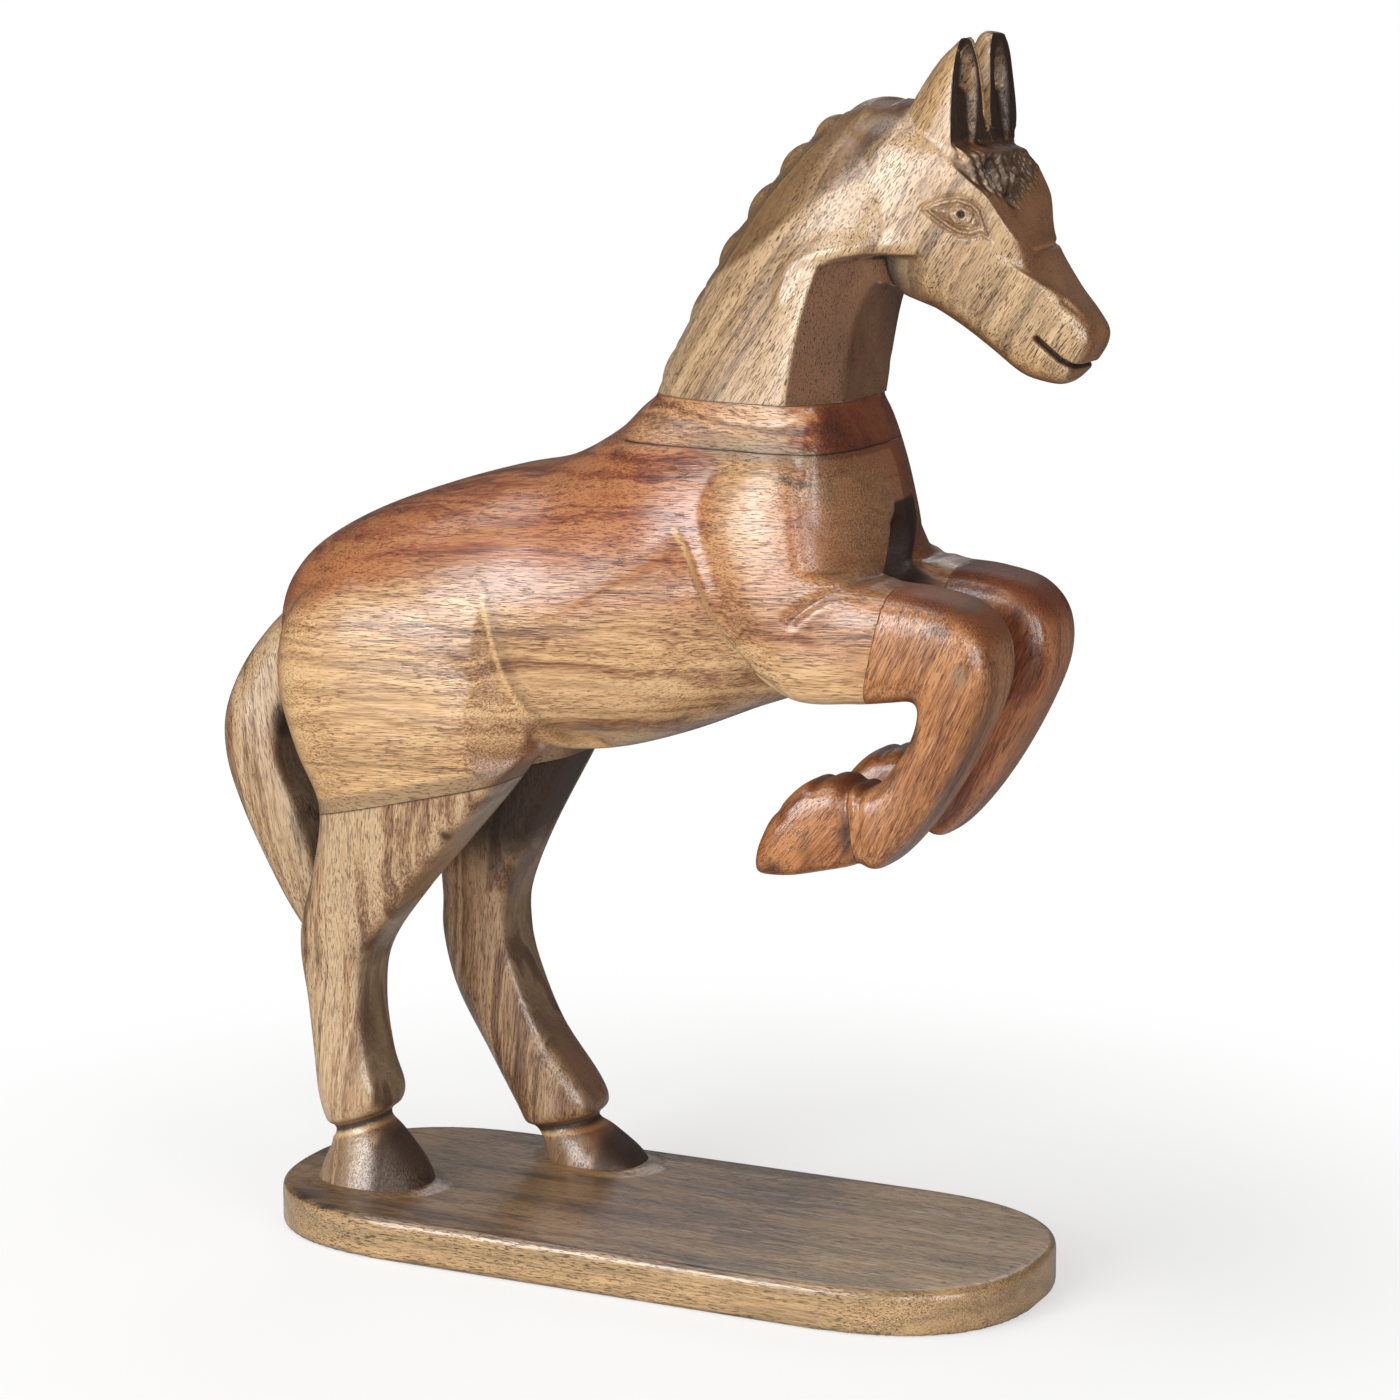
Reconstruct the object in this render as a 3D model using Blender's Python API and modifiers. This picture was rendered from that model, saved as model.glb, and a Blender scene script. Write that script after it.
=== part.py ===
"""A rearing foal carved from glued wooden blocks, standing on a board with rounded ends.

The blank is glued up from straight blocks with dowels across each joint, and is then carved as one
figure. So this script carves one figure, and cuts every block out of it along the glue faces.

Frame: metres, +X the way the foal faces, +Y its left, +Z up. The origin is the middle of the
board's underside. Heights in the tables below are above the board's top face.
"""

import math

import bmesh
import bpy
import numpy as np
from mathutils import Matrix, Vector

MM = 0.001

# Board
BOARD_LENGTH = 286 * MM
BOARD_WIDTH = 114 * MM
BOARD_THICKNESS = 15.5 * MM
BOARD_END = 67.5 * MM
BOARD_END_SQUARENESS = 2.44
BOARD_EDGE_ROUND = 2.5 * MM

# Glued joints
GLUE_GAP = 0.3 * MM
NECK_JOINT_HEIGHT = 288.5 * MM
WITHERS_BOARD_THICKNESS = 15 * MM
WITHERS_SEAM_Y = 22 * MM
SHOULDER_BLOCK_REAR = 8 * MM
SHOULDER_BLOCK_SLOPE = math.radians(51)
TAIL_JOINT_X = -144 * MM
HIND_JOINT_X = -72 * MM
HIND_JOINT_HEIGHT = 147 * MM
HIND_JOINT_SLOPE = math.radians(13.5)
FORE_JOINT_X = 98.5 * MM
FORE_JOINT_HEIGHT = 213.5 * MM
FORE_JOINT_LEAN = math.radians(12)
HOOF_JOINT_X = 89 * MM
HOOF_JOINT_HEIGHT = 151.5 * MM
HOOF_JOINT_LEAN = math.radians(-6.5)

# Corners of the blocks' side outlines between the glue faces: (x, height)
THIGH_REAR_X = -130 * MM
STIFLE_X = -38 * MM
BELOW_STIFLE = (-34 * MM, 148 * MM)
BELOW_BELLY = (40 * MM, 148 * MM)
BELOW_ELBOW = (45 * MM, 179.5 * MM)
BELOW_FORELEG = (88 * MM, 179.5 * MM)
FORE_JOINT_FOOT = 194.5 * MM
FORE_STOCK_TOP = 250 * MM
HOOF_JOINT_TOP = 175.5 * MM
HOOF_JOINT_FOOT = 116.5 * MM
TAIL_JOINT_FOOT = 166 * MM
UNDER_RUMP = (-136 * MM, 152 * MM)
HOCK_HIGH = (-128.5 * MM, 112 * MM)
HOCK_LOW = (-130.5 * MM, 70 * MM)
TAIL_END_HEIGHT = 62 * MM
HOOF_STOCK_REAR = 30 * MM
HIND_STOCK_FRONT = 20 * MM
HIND_STOCK_TOP = 130 * MM
NECK_STOCK_REAR = -60 * MM
WITHERS_STOCK_FRONT = 95 * MM
STOCK_REAR = -200 * MM
STOCK_FRONT = 200 * MM
STOCK_TOP = 450 * MM
STOCK_HALF_WIDTH = 70 * MM

# Dowels and screws
DOWEL_DIAMETER = 8 * MM
HOOF_DOWEL_DIAMETER = 6 * MM
DOWEL_CLEARANCE = 0.3 * MM
NECK_DOWEL_LENGTH = 64 * MM
NECK_DOWEL_FROM_CREST = 13 * MM
NECK_DOWEL_FROM_THROAT = 22 * MM
NECK_DOWEL_SIDE = 12 * MM
SHOULDER_DOWEL_X = 45 * MM
SHOULDER_DOWEL_LENGTH = 12 * MM
LEG_DOWEL_LENGTH = 34 * MM
LEG_DOWEL_SIDE = 27 * MM
HIND_DOWEL_XS = (-98 * MM, -76 * MM)
FORE_DOWEL_SPACING = 16 * MM
HOOF_DOWEL_LENGTH = 22 * MM
TAIL_DOWEL_LENGTH = 20 * MM
TAIL_DOWEL_HEIGHT = 185 * MM
SCREW_DIAMETER = 4 * MM
SCREW_HEAD_DIAMETER = 8 * MM
SCREW_LENGTH = 24 * MM
SCREW_SPACING = 13 * MM
SCREW_RECESS = 0.8 * MM

# Fineness of the carving and of the turned and sawn pieces
VOXEL = 2.0 * MM
SMOOTH_STEPS = 6
KEPT_FACES = 0.055
AROUND = 28
STEPS_PER_SPAN = 4
BOARD_END_POINTS = 19
TURNED_STEPS = 16
ROD_SIDES = 12
WELD = 0.01 * MM
CORNER_ANGLE = math.radians(57)
FLAT_ANGLE = math.radians(0.5)

# Each rung crosses a form from its A edge to its B edge, in side view:
# (A x, A height, B x, B height, sideways place, half width, squareness, taper to A), in mm.
TRUNK = [
    (-146, 198, -145, 186, 0, 8, 2.2, 0),
    (-143, 211.5, -139.5, 172, 0, 16, 2.3, 0),
    (-136.5, 221.5, -131, 163.5, 0, 25, 2.4, 0),
    (-125.5, 231.5, -118, 161.5, 0, 33, 2.5, -0.05),
    (-105, 242.5, -96, 161.5, 0, 40, 2.5, -0.08),
    (-78, 252.5, -70, 164.5, 0, 43, 2.5, -0.1),
    (-52, 260, -42, 162.5, 0, 43, 2.4, -0.08),
    (-30, 265, -15, 163.5, 0, 42, 2.3, -0.05),
    (-10, 276, 12, 171, 0, 42, 2.3, -0.05),
    (4, 288, 38, 181.5, 0, 43, 2.4, -0.1),
    (26, 296, 59, 190, 0, 43, 2.5, -0.15),
    (52, 298, 74, 202, 0, 42, 2.6, -0.15),
    (70, 294, 81, 217, 0, 40, 2.8, -0.08),
    (79, 277, 87, 233, 0, 34, 2.7, 0),
    (84, 266, 89, 246, 0, 24, 2.5, 0),
]
NECK = [
    (0, 271, 72, 271, 0, 31, 2.8, -0.12),
    (3, 287, 74.5, 288, 0, 30.5, 3.3, -0.15),
    (13, 309, 77, 306, 0, 29.5, 3.3, -0.2),
    (25, 331, 80.5, 321, 0, 28, 3.3, -0.22),
    (41, 354, 88, 334, 0, 26, 3.0, -0.2),
    (59, 373.5, 97, 345, 0, 23.5, 2.7, -0.15),
    (77, 385.5, 106, 355, 0, 20, 2.4, -0.1),
    (88, 387, 110, 363, 0, 14, 2.3, 0),
]
HEAD = [
    (80, 387, 66, 336, 0, 19, 2.6, 0),
    (94, 386.5, 76.5, 330, 0, 22.5, 2.8, 0),
    (110, 380.5, 92, 325.5, 0, 23, 3.0, 0),
    (125, 371.5, 105, 319.5, 0, 21.5, 3.2, 0),
    (134, 360, 115, 313.5, 0, 19.5, 3.2, 0),
    (137.5, 344, 124, 307, 0, 16.5, 3.2, 0),
    (147, 329.5, 133, 300, 0, 14, 3.0, 0),
    (155, 321, 140, 297.5, 0, 12.5, 2.8, 0),
    (159, 315.5, 147.5, 297, 0, 11, 2.6, 0),
    (159.5, 311.5, 153, 301.5, 0, 8, 2.3, 0),
]
EAR = [
    (85, 363, 109, 357, 12, 6.5, 2.0, 0),
    (91.5, 374, 117, 367.5, 12.5, 8, 2.0, 0),
    (97.5, 386.5, 121.5, 380, 12.5, 8.5, 2.0, 0),
    (105.5, 398.5, 122.5, 392, 12.5, 7.5, 2.0, 0),
    (112.5, 407, 122, 402, 12.5, 5.5, 2.0, 0),
    (116, 410, 119.5, 409, 12.5, 3, 2.0, 0),
]
FORELEG = [
    (60, 283, 24, 261, 24, 12, 2.3, 0),
    (70, 276, 23, 246, 27.5, 15, 2.4, 0),
    (77, 261, 30, 226, 29, 16.5, 2.5, 0),
    (85, 243, 44, 206, 29, 18, 2.6, 0),
    (91, 235, 66, 192.5, 28, 18.5, 2.6, 0),
    (98, 232, 88, 192.5, 28, 18.5, 2.6, 0),
    (111, 231, 101, 194, 28, 18, 2.6, 0),
    (127, 227, 108, 195, 28, 17.5, 2.6, 0),
    (136, 217, 111, 193.5, 28, 17, 2.5, 0),
    (137, 202, 110.5, 187.5, 28, 16.5, 2.5, 0),
    (130.5, 184, 107, 179.5, 28, 15.5, 2.5, 0),
    (119.5, 163.5, 100, 170, 28, 14.5, 2.5, 0),
    (107.5, 147, 94.5, 165.5, 28, 14.5, 2.5, 0),
    (97.5, 138, 89, 165.5, 28, 14.5, 2.5, 0),
    (90.5, 139, 86.5, 164.5, 28, 12.5, 2.4, 0),
    (86, 137.5, 82.5, 167, 28, 14, 2.4, 0),
    (76, 135, 71, 165, 28, 15, 2.5, 0),
    (66.5, 133, 61.5, 155.5, 28, 15.5, 2.6, 0),
    (57.5, 132, 56, 146.5, 28, 14, 2.6, 0),
    (54, 132, 53.5, 138.5, 28, 10, 2.4, 0),
]
RIGHT_HIND_LEG = [
    (-112, 225, -62, 231, 20, 14, 2.4, 0),
    (-130, 207, -50, 217, 23, 19.5, 2.6, 0),
    (-134, 183, -42, 195, 25, 19.5, 2.8, 0),
    (-127, 159, -33, 172, 26, 18.5, 2.8, 0),
    (-118, 139, -43.5, 154, 26, 17, 2.6, 0),
    (-121, 117, -64, 130, 25, 15.5, 2.5, 0),
    (-127.5, 97, -83, 109, 23, 14, 2.4, 0),
    (-129, 84, -99, 87, 21.5, 13, 2.4, 0),
    (-127, 67.5, -102.5, 67.5, 20.5, 12.5, 2.4, 0),
    (-125, 47.5, -100, 47.5, 20, 13, 2.4, 0),
    (-123.5, 33, -96.5, 35, 19.5, 14, 2.4, 0),
    (-122, 22, -96.5, 29, 19, 13, 2.3, 0),
    (-119, 18, -99.5, 24, 18.8, 10.5, 2.2, 0),
    (-120, 14.5, -95, 19.5, 18.6, 11.5, 2.2, 0),
    (-124, 6, -86, 8, 18.6, 15, 2.2, 0),
    (-126.5, -1, -82.5, -1, 18.6, 17, 2.2, 0),
    (-126.5, -5, -82.5, -5, 18.6, 17, 2.2, 0),
]
LEFT_HIND_LEG = [
    (-112, 225, -62, 231, 20, 14, 2.4, 0),
    (-130, 207, -50, 217, 23, 19.5, 2.6, 0),
    (-134, 183, -41, 195, 25, 19.5, 2.8, 0),
    (-124, 159, -32.5, 172, 26, 18.5, 2.8, 0),
    (-112, 139, -44, 152, 27, 17, 2.6, 0),
    (-101.5, 118, -60.5, 123, 28.5, 15.5, 2.5, 0),
    (-99.5, 99, -70, 101.5, 30, 14, 2.4, 0),
    (-100, 82.5, -71.5, 88.5, 31, 13.5, 2.4, 0),
    (-95, 61.5, -69, 73.5, 32, 13, 2.4, 0),
    (-83.5, 39.5, -59.5, 50, 34, 13, 2.4, 0),
    (-73.5, 20, -44.5, 30, 35.5, 14, 2.4, 0),
    (-70, 12, -41, 21.5, 36, 13.5, 2.3, 0),
    (-66, 10, -43.5, 16, 36.1, 10.5, 2.2, 0),
    (-64, 7.5, -37.5, 12, 36.1, 12, 2.2, 0),
    (-62, 2, -27, 4, 36.1, 14.5, 2.2, 0),
    (-61.5, -3, -22, -3, 36.1, 15, 2.2, 0),
    (-61.5, -6, -22, -6, 36.1, 15, 2.2, 0),
]
TAIL = [
    (-140, 209, -136, 187, 0, 9.5, 2.0, 0),
    (-154, 196.5, -140, 179, 0, 10.5, 2.0, 0),
    (-166, 181, -145, 164, 0, 11.5, 2.1, 0),
    (-173, 164, -147.5, 152, 0, 12.5, 2.2, 0),
    (-173, 147, -144.5, 141, 0, 12.5, 2.2, 0),
    (-167, 129, -139, 129, 0, 12, 2.2, 0),
    (-158, 111, -134.5, 114, 0, 11, 2.2, 0),
    (-148.5, 94, -131.5, 98, 0, 9, 2.1, 0),
    (-139.5, 80.5, -131, 84.5, 0, 5, 2.0, 0),
]
# The notches between the locks of the mane, from the poll down to the withers: (x, height).
MANE_NOTCHES = [(93, 387), (70, 382.5), (57.5, 374), (45, 361), (33.5, 346), (23, 329), (12, 308), (2, 288)]
MANE_BULGE = 3 * MM
MANE_HALF_WIDTH = 8 * MM
MANE_DEPTH = 9 * MM
MANE_OVERLAP = 1.24

# Where the hooves stand: (x, y).
RIGHT_HOOF = (-104.5 * MM, -18.6 * MM)
LEFT_HOOF = (-44 * MM, 36.1 * MM)


def clear_scene():
    for obj in list(bpy.data.objects):
        bpy.data.objects.remove(obj)


def new_collection(name):
    collection = bpy.data.collections.new(name)
    bpy.context.scene.collection.children.link(collection)
    return collection


def wood(name, colour, roughness):
    material = bpy.data.materials.new(name)
    material.use_nodes = True
    shader = material.node_tree.nodes["Principled BSDF"]
    shader.inputs["Base Color"].default_value = (*colour, 1)
    shader.inputs["Roughness"].default_value = roughness
    return material


def smooth_rows(rows, steps):
    """Catmull-Rom curve through the rows, with `steps` rows to each span."""
    rows = np.array(rows, float)
    padded = np.vstack([2 * rows[0] - rows[1], rows, 2 * rows[-1] - rows[-2]])
    made = []
    for i in range(1, len(rows)):
        p0, p1, p2, p3 = padded[i - 1 : i + 3]
        for t in np.linspace(0, 1, steps, endpoint=False):
            made.append(
                0.5 * (2 * p1 + (p2 - p0) * t + (2 * p0 - 5 * p1 + 4 * p2 - p3) * t**2)
                + 0.5 * (3 * p1 - p0 - 3 * p2 + p3) * t**3
            )
    return np.array(made + [rows[-1]])


def form(name, rungs, side=1):
    """A closed loft: one superelliptic ring to each rung, from its A edge round to its B edge."""
    rows = smooth_rows(rungs, STEPS_PER_SPAN)
    angles = np.linspace(0, 2 * math.pi, AROUND, endpoint=False)
    mesh = bmesh.new()
    rings = []
    for xa, za, xb, zb, y, half_width, squareness, taper in rows:
        across = np.sign(np.cos(angles)) * np.abs(np.cos(angles)) ** (2 / squareness)
        sideways = np.sign(np.sin(angles)) * np.abs(np.sin(angles)) ** (2 / squareness)
        xs = (xa + xb) / 2 + (xa - xb) / 2 * across
        zs = (za + zb) / 2 + (za - zb) / 2 * across
        ys = side * (y + half_width * sideways * (1 + taper * across))
        points = np.stack([xs, ys, zs], axis=1) * MM
        rings.append([mesh.verts.new(p + np.array([0, 0, BOARD_THICKNESS])) for p in points])
    for low, high in zip(rings, rings[1:]):
        for i in range(AROUND):
            j = (i + 1) % AROUND
            mesh.faces.new((low[i], low[j], high[j], high[i]))
    mesh.faces.new(rings[0][::-1])
    mesh.faces.new(rings[-1])
    bmesh.ops.recalc_face_normals(mesh, faces=mesh.faces)
    data = bpy.data.meshes.new(name)
    mesh.to_mesh(data)
    mesh.free()
    return data


def mane_locks():
    """Round locks along the crest, one between each pair of notches."""
    mesh = bmesh.new()
    for (x1, z1), (x2, z2) in zip(MANE_NOTCHES, MANE_NOTCHES[1:]):
        start = Vector((x1 * MM, 0, z1 * MM + BOARD_THICKNESS))
        end = Vector((x2 * MM, 0, z2 * MM + BOARD_THICKNESS))
        along = end - start
        outward = Vector((-abs(along.z), 0, abs(along.x))).normalized()
        centre = (start + end) / 2 - outward * (MANE_DEPTH - MANE_BULGE)
        turn = Matrix((along.normalized(), Vector((0, 1, 0)), outward)).transposed().to_4x4()
        size = Matrix.Diagonal((along.length / 2 * MANE_OVERLAP, MANE_HALF_WIDTH, MANE_DEPTH, 1))
        bmesh.ops.create_uvsphere(
            mesh, u_segments=16, v_segments=10, radius=1, matrix=Matrix.Translation(centre) @ turn @ size
        )
    bmesh.ops.recalc_face_normals(mesh, faces=mesh.faces)
    data = bpy.data.meshes.new("mane_locks")
    mesh.to_mesh(data)
    mesh.free()
    return data


def carved_figure(guides):
    """All the forms merged into one carved surface, as a mesh."""
    forms = [
        form("trunk_form", TRUNK),
        form("neck_form", NECK),
        form("head_form", HEAD),
        form("tail_form", TAIL),
        form("right_hind_form", RIGHT_HIND_LEG, -1),
        form("left_hind_form", LEFT_HIND_LEG, 1),
        mane_locks(),
    ]
    for side in (-1, 1):
        forms.append(form("foreleg_form", FORELEG, side))
        forms.append(form("ear_form", EAR, side))
    joined = bmesh.new()
    for data in forms:
        joined.from_mesh(data)
    mesh = bpy.data.meshes.new("figure_forms")
    joined.to_mesh(mesh)
    joined.free()
    figure = bpy.data.objects.new("figure", mesh)
    guides.objects.link(figure)
    figure.hide_render = True
    figure.display_type = "WIRE"
    merge = figure.modifiers.new("Merge forms", "REMESH")
    merge.mode = "VOXEL"
    merge.voxel_size = VOXEL
    soften = figure.modifiers.new("Soften carving", "SMOOTH")
    soften.factor = 0.5
    soften.iterations = SMOOTH_STEPS
    thin = figure.modifiers.new("Fewer faces", "DECIMATE")
    thin.ratio = KEPT_FACES
    bpy.context.view_layer.update()
    graph = bpy.context.evaluated_depsgraph_get()
    return bpy.data.meshes.new_from_object(figure.evaluated_get(graph))


def inset(outline, distance):
    """The outline with each edge moved inward by the distance."""
    points = [Vector(p) for p in outline]
    area = sum(a.x * b.y - b.x * a.y for a, b in zip(points, points[1:] + points[:1]))
    turn = 1 if area > 0 else -1
    lines = []
    for a, b in zip(points, points[1:] + points[:1]):
        along = (b - a).normalized()
        inward = Vector((-along.y, along.x)) * turn
        lines.append((a + inward * distance, along))
    made = []
    for (p, d), (q, e) in zip(lines[-1:] + lines[:-1], lines):
        t = (q - p).cross(e) / d.cross(e)
        made.append(p + d * t)
    return made


def cutter(name, mesh, guides):
    obj = bpy.data.objects.new(name, mesh)
    obj.hide_render = True
    obj.display_type = "WIRE"
    guides.objects.link(obj)
    return obj


def stock(name, outline, low, high, guides, lengthwise=False, margin=GLUE_GAP / 2):
    """The straight block that a piece is cut from, smaller than its place by the margin.

    The outline is (x, height) with its thickness from low to high along Y, or, where the block
    is lengthwise, (y, height) with its thickness along X.
    """
    curve = bpy.data.curves.new(name, "CURVE")
    curve.dimensions = "2D"
    curve.fill_mode = "BOTH"
    curve.extrude = (high - low) / 2
    points = inset(outline, margin)
    spline = curve.splines.new("POLY")
    spline.points.add(len(points) - 1)
    for point, (across, height) in zip(spline.points, points):
        point.co = (across, height + BOARD_THICKNESS, 0, 1)
    spline.use_cyclic_u = True
    flat = bpy.data.objects.new(name + "_outline", curve)
    guides.objects.link(flat)
    upright = Matrix.Rotation(math.pi / 2, 4, "X")
    middle = Vector((0, (low + high) / 2, 0))
    if lengthwise:
        upright = Matrix.Rotation(math.pi / 2, 4, "Z") @ upright
        middle = middle.yxz
    flat.matrix_world = Matrix.Translation(middle) @ upright
    bpy.context.view_layer.update()
    mesh = bpy.data.meshes.new_from_object(flat.evaluated_get(bpy.context.evaluated_depsgraph_get()))
    mesh.transform(flat.matrix_world)
    bpy.data.objects.remove(flat)
    edit = bmesh.new()
    edit.from_mesh(mesh)
    bmesh.ops.remove_doubles(edit, verts=edit.verts, dist=WELD)
    bmesh.ops.recalc_face_normals(edit, faces=edit.faces)
    edit.to_mesh(mesh)
    edit.free()
    return cutter(name, mesh, guides)


def piece(name, mesh, material, parts):
    obj = bpy.data.objects.new(name, mesh)
    mesh.materials.clear()
    mesh.materials.append(material)
    parts.objects.link(obj)
    return obj


def cut(obj, cutter, operation="DIFFERENCE"):
    boolean = obj.modifiers.new(cutter.name, "BOOLEAN")
    boolean.operation = operation
    boolean.object = cutter
    return boolean


def rod(name, diameter, length):
    """A round rod along Z, centred on its origin."""
    mesh = bmesh.new()
    bmesh.ops.create_cone(
        mesh, cap_ends=True, segments=ROD_SIDES, radius1=diameter / 2, radius2=diameter / 2, depth=length
    )
    data = bpy.data.meshes.new(name)
    mesh.to_mesh(data)
    mesh.free()
    return data


def stand(obj, middle, direction):
    """Places an object at the middle with its Z axis along the direction."""
    obj.location = middle
    obj.rotation_mode = "QUATERNION"
    obj.rotation_quaternion = Vector(direction).to_track_quat("Z", "Y")


def dowels(name, placed, diameter, length, blocks, material, parts, guides):
    """A dowel at each (middle, direction), and its bore, wider by the clearance, in each block."""
    dowel_mesh = rod(name, diameter, length)
    bore_mesh = rod(name + "_bore", diameter + 2 * DOWEL_CLEARANCE, length + 2 * DOWEL_CLEARANCE)
    for number, (middle, direction) in enumerate(placed, 1):
        stand(piece(f"{name}_{number}", dowel_mesh, material, parts), middle, direction)
        bore = cutter(f"{name}_bore_{number}", bore_mesh, guides)
        stand(bore, middle, direction)
        for block in blocks:
            cut(block, bore)


def hind_joint_height(x):
    """Height of the sloping joint between trunk and hind legs."""
    return HIND_JOINT_HEIGHT + (x - HIND_JOINT_X) * math.tan(HIND_JOINT_SLOPE)


def lean_line(x, height, lean, at_height):
    """(x, height) on a leaning joint line."""
    return (x + (at_height - height) * math.tan(lean), at_height)


def block_outlines():
    """Side outlines of the blocks. Their shared edges are the glue faces, or run through the air."""
    withers_joint = NECK_JOINT_HEIGHT - WITHERS_BOARD_THICKNESS
    board_top = GLUE_GAP / 2
    fore_foot = lean_line(FORE_JOINT_X, FORE_JOINT_HEIGHT, FORE_JOINT_LEAN, FORE_JOINT_FOOT)
    fore_top = lean_line(FORE_JOINT_X, FORE_JOINT_HEIGHT, FORE_JOINT_LEAN, FORE_STOCK_TOP)
    hoof_foot = lean_line(HOOF_JOINT_X, HOOF_JOINT_HEIGHT, HOOF_JOINT_LEAN, HOOF_JOINT_FOOT)
    hoof_top = lean_line(HOOF_JOINT_X, HOOF_JOINT_HEIGHT, HOOF_JOINT_LEAN, HOOF_JOINT_TOP)
    tail_foot = (TAIL_JOINT_X, TAIL_JOINT_FOOT)
    thigh_rear = (THIGH_REAR_X, hind_joint_height(THIGH_REAR_X))
    stifle = (STIFLE_X, hind_joint_height(STIFLE_X))
    behind_tail = (STOCK_REAR, TAIL_END_HEIGHT)
    return {
        "trunk": [
            (TAIL_JOINT_X, withers_joint),
            tail_foot,
            UNDER_RUMP,
            thigh_rear,
            stifle,
            BELOW_STIFLE,
            BELOW_BELLY,
            BELOW_ELBOW,
            BELOW_FORELEG,
            fore_foot,
            fore_top,
            (fore_top[0], withers_joint),
        ],
        "withers": [
            (NECK_STOCK_REAR, withers_joint),
            (WITHERS_STOCK_FRONT, withers_joint),
            (WITHERS_STOCK_FRONT, NECK_JOINT_HEIGHT),
            (NECK_STOCK_REAR, NECK_JOINT_HEIGHT),
        ],
        "neck_and_head": [
            (NECK_STOCK_REAR, NECK_JOINT_HEIGHT),
            (STOCK_FRONT, NECK_JOINT_HEIGHT),
            (STOCK_FRONT, STOCK_TOP),
            (NECK_STOCK_REAR, STOCK_TOP),
        ],
        "tail": [
            (TAIL_JOINT_X, STOCK_TOP),
            (STOCK_REAR, STOCK_TOP),
            behind_tail,
            HOCK_LOW,
            HOCK_HIGH,
            thigh_rear,
            UNDER_RUMP,
            tail_foot,
        ],
        "hind_leg": [
            thigh_rear,
            HOCK_HIGH,
            HOCK_LOW,
            behind_tail,
            (STOCK_REAR, board_top),
            (HIND_STOCK_FRONT, board_top),
            (HIND_STOCK_FRONT, HIND_STOCK_TOP),
            BELOW_STIFLE,
            stifle,
        ],
        "foreleg": [
            fore_foot,
            BELOW_FORELEG,
            hoof_top,
            hoof_foot,
            (STOCK_FRONT, HOOF_JOINT_FOOT),
            (STOCK_FRONT, FORE_STOCK_TOP),
            fore_top,
        ],
        "fore_hoof": [
            hoof_top,
            (HOOF_STOCK_REAR, HOOF_JOINT_TOP),
            (HOOF_STOCK_REAR, HOOF_JOINT_FOOT),
            hoof_foot,
        ],
    }


def carve_blocks(figure, materials, parts, guides):
    """Every block of the figure: the carved surface kept inside its own stock."""
    outlines = block_outlines()
    half = STOCK_HALF_WIDTH
    seam = GLUE_GAP / 2
    right, left, whole = (-half, -seam), (seam, half), (-half, half)
    plan = [
        ("trunk", "trunk", whole),
        ("withers_block", "withers", (-half, WITHERS_SEAM_Y - seam)),
        ("neck_and_head", "neck_and_head", whole),
        ("tail", "tail", whole),
        ("right_hind_leg", "hind_leg", right),
        ("left_hind_leg", "hind_leg", left),
        ("right_foreleg", "foreleg", right),
        ("left_foreleg", "foreleg", left),
        ("right_fore_hoof", "fore_hoof", right),
        ("left_fore_hoof", "fore_hoof", left),
    ]
    blocks = {}
    for name, outline, (low, high) in plan:
        blank = stock(name + "_stock", outlines[outline], low, high, guides)
        blocks[name] = piece(name, figure.copy(), materials[name], parts)
        cut(blocks[name], blank, "INTERSECT")
    name = "left_shoulder_block"
    underside = NECK_JOINT_HEIGHT - WITHERS_BOARD_THICKNESS
    drop = (half - WITHERS_SEAM_Y) * math.tan(SHOULDER_BLOCK_SLOPE)
    outline = [
        (WITHERS_SEAM_Y, NECK_JOINT_HEIGHT),
        (WITHERS_SEAM_Y, underside),
        (half, underside - drop),
        (half, NECK_JOINT_HEIGHT),
    ]
    rear, front = SHOULDER_BLOCK_REAR, WITHERS_STOCK_FRONT
    blank = stock(name + "_stock", outline, rear, front, guides, lengthwise=True)
    blocks[name] = piece(name, figure.copy(), materials[name], parts)
    cut(blocks[name], blank, "INTERSECT")
    recess = stock(name + "_recess", outline, rear - GLUE_GAP, front, guides, lengthwise=True, margin=-seam)
    cut(blocks["trunk"], recess)
    return blocks


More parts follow.
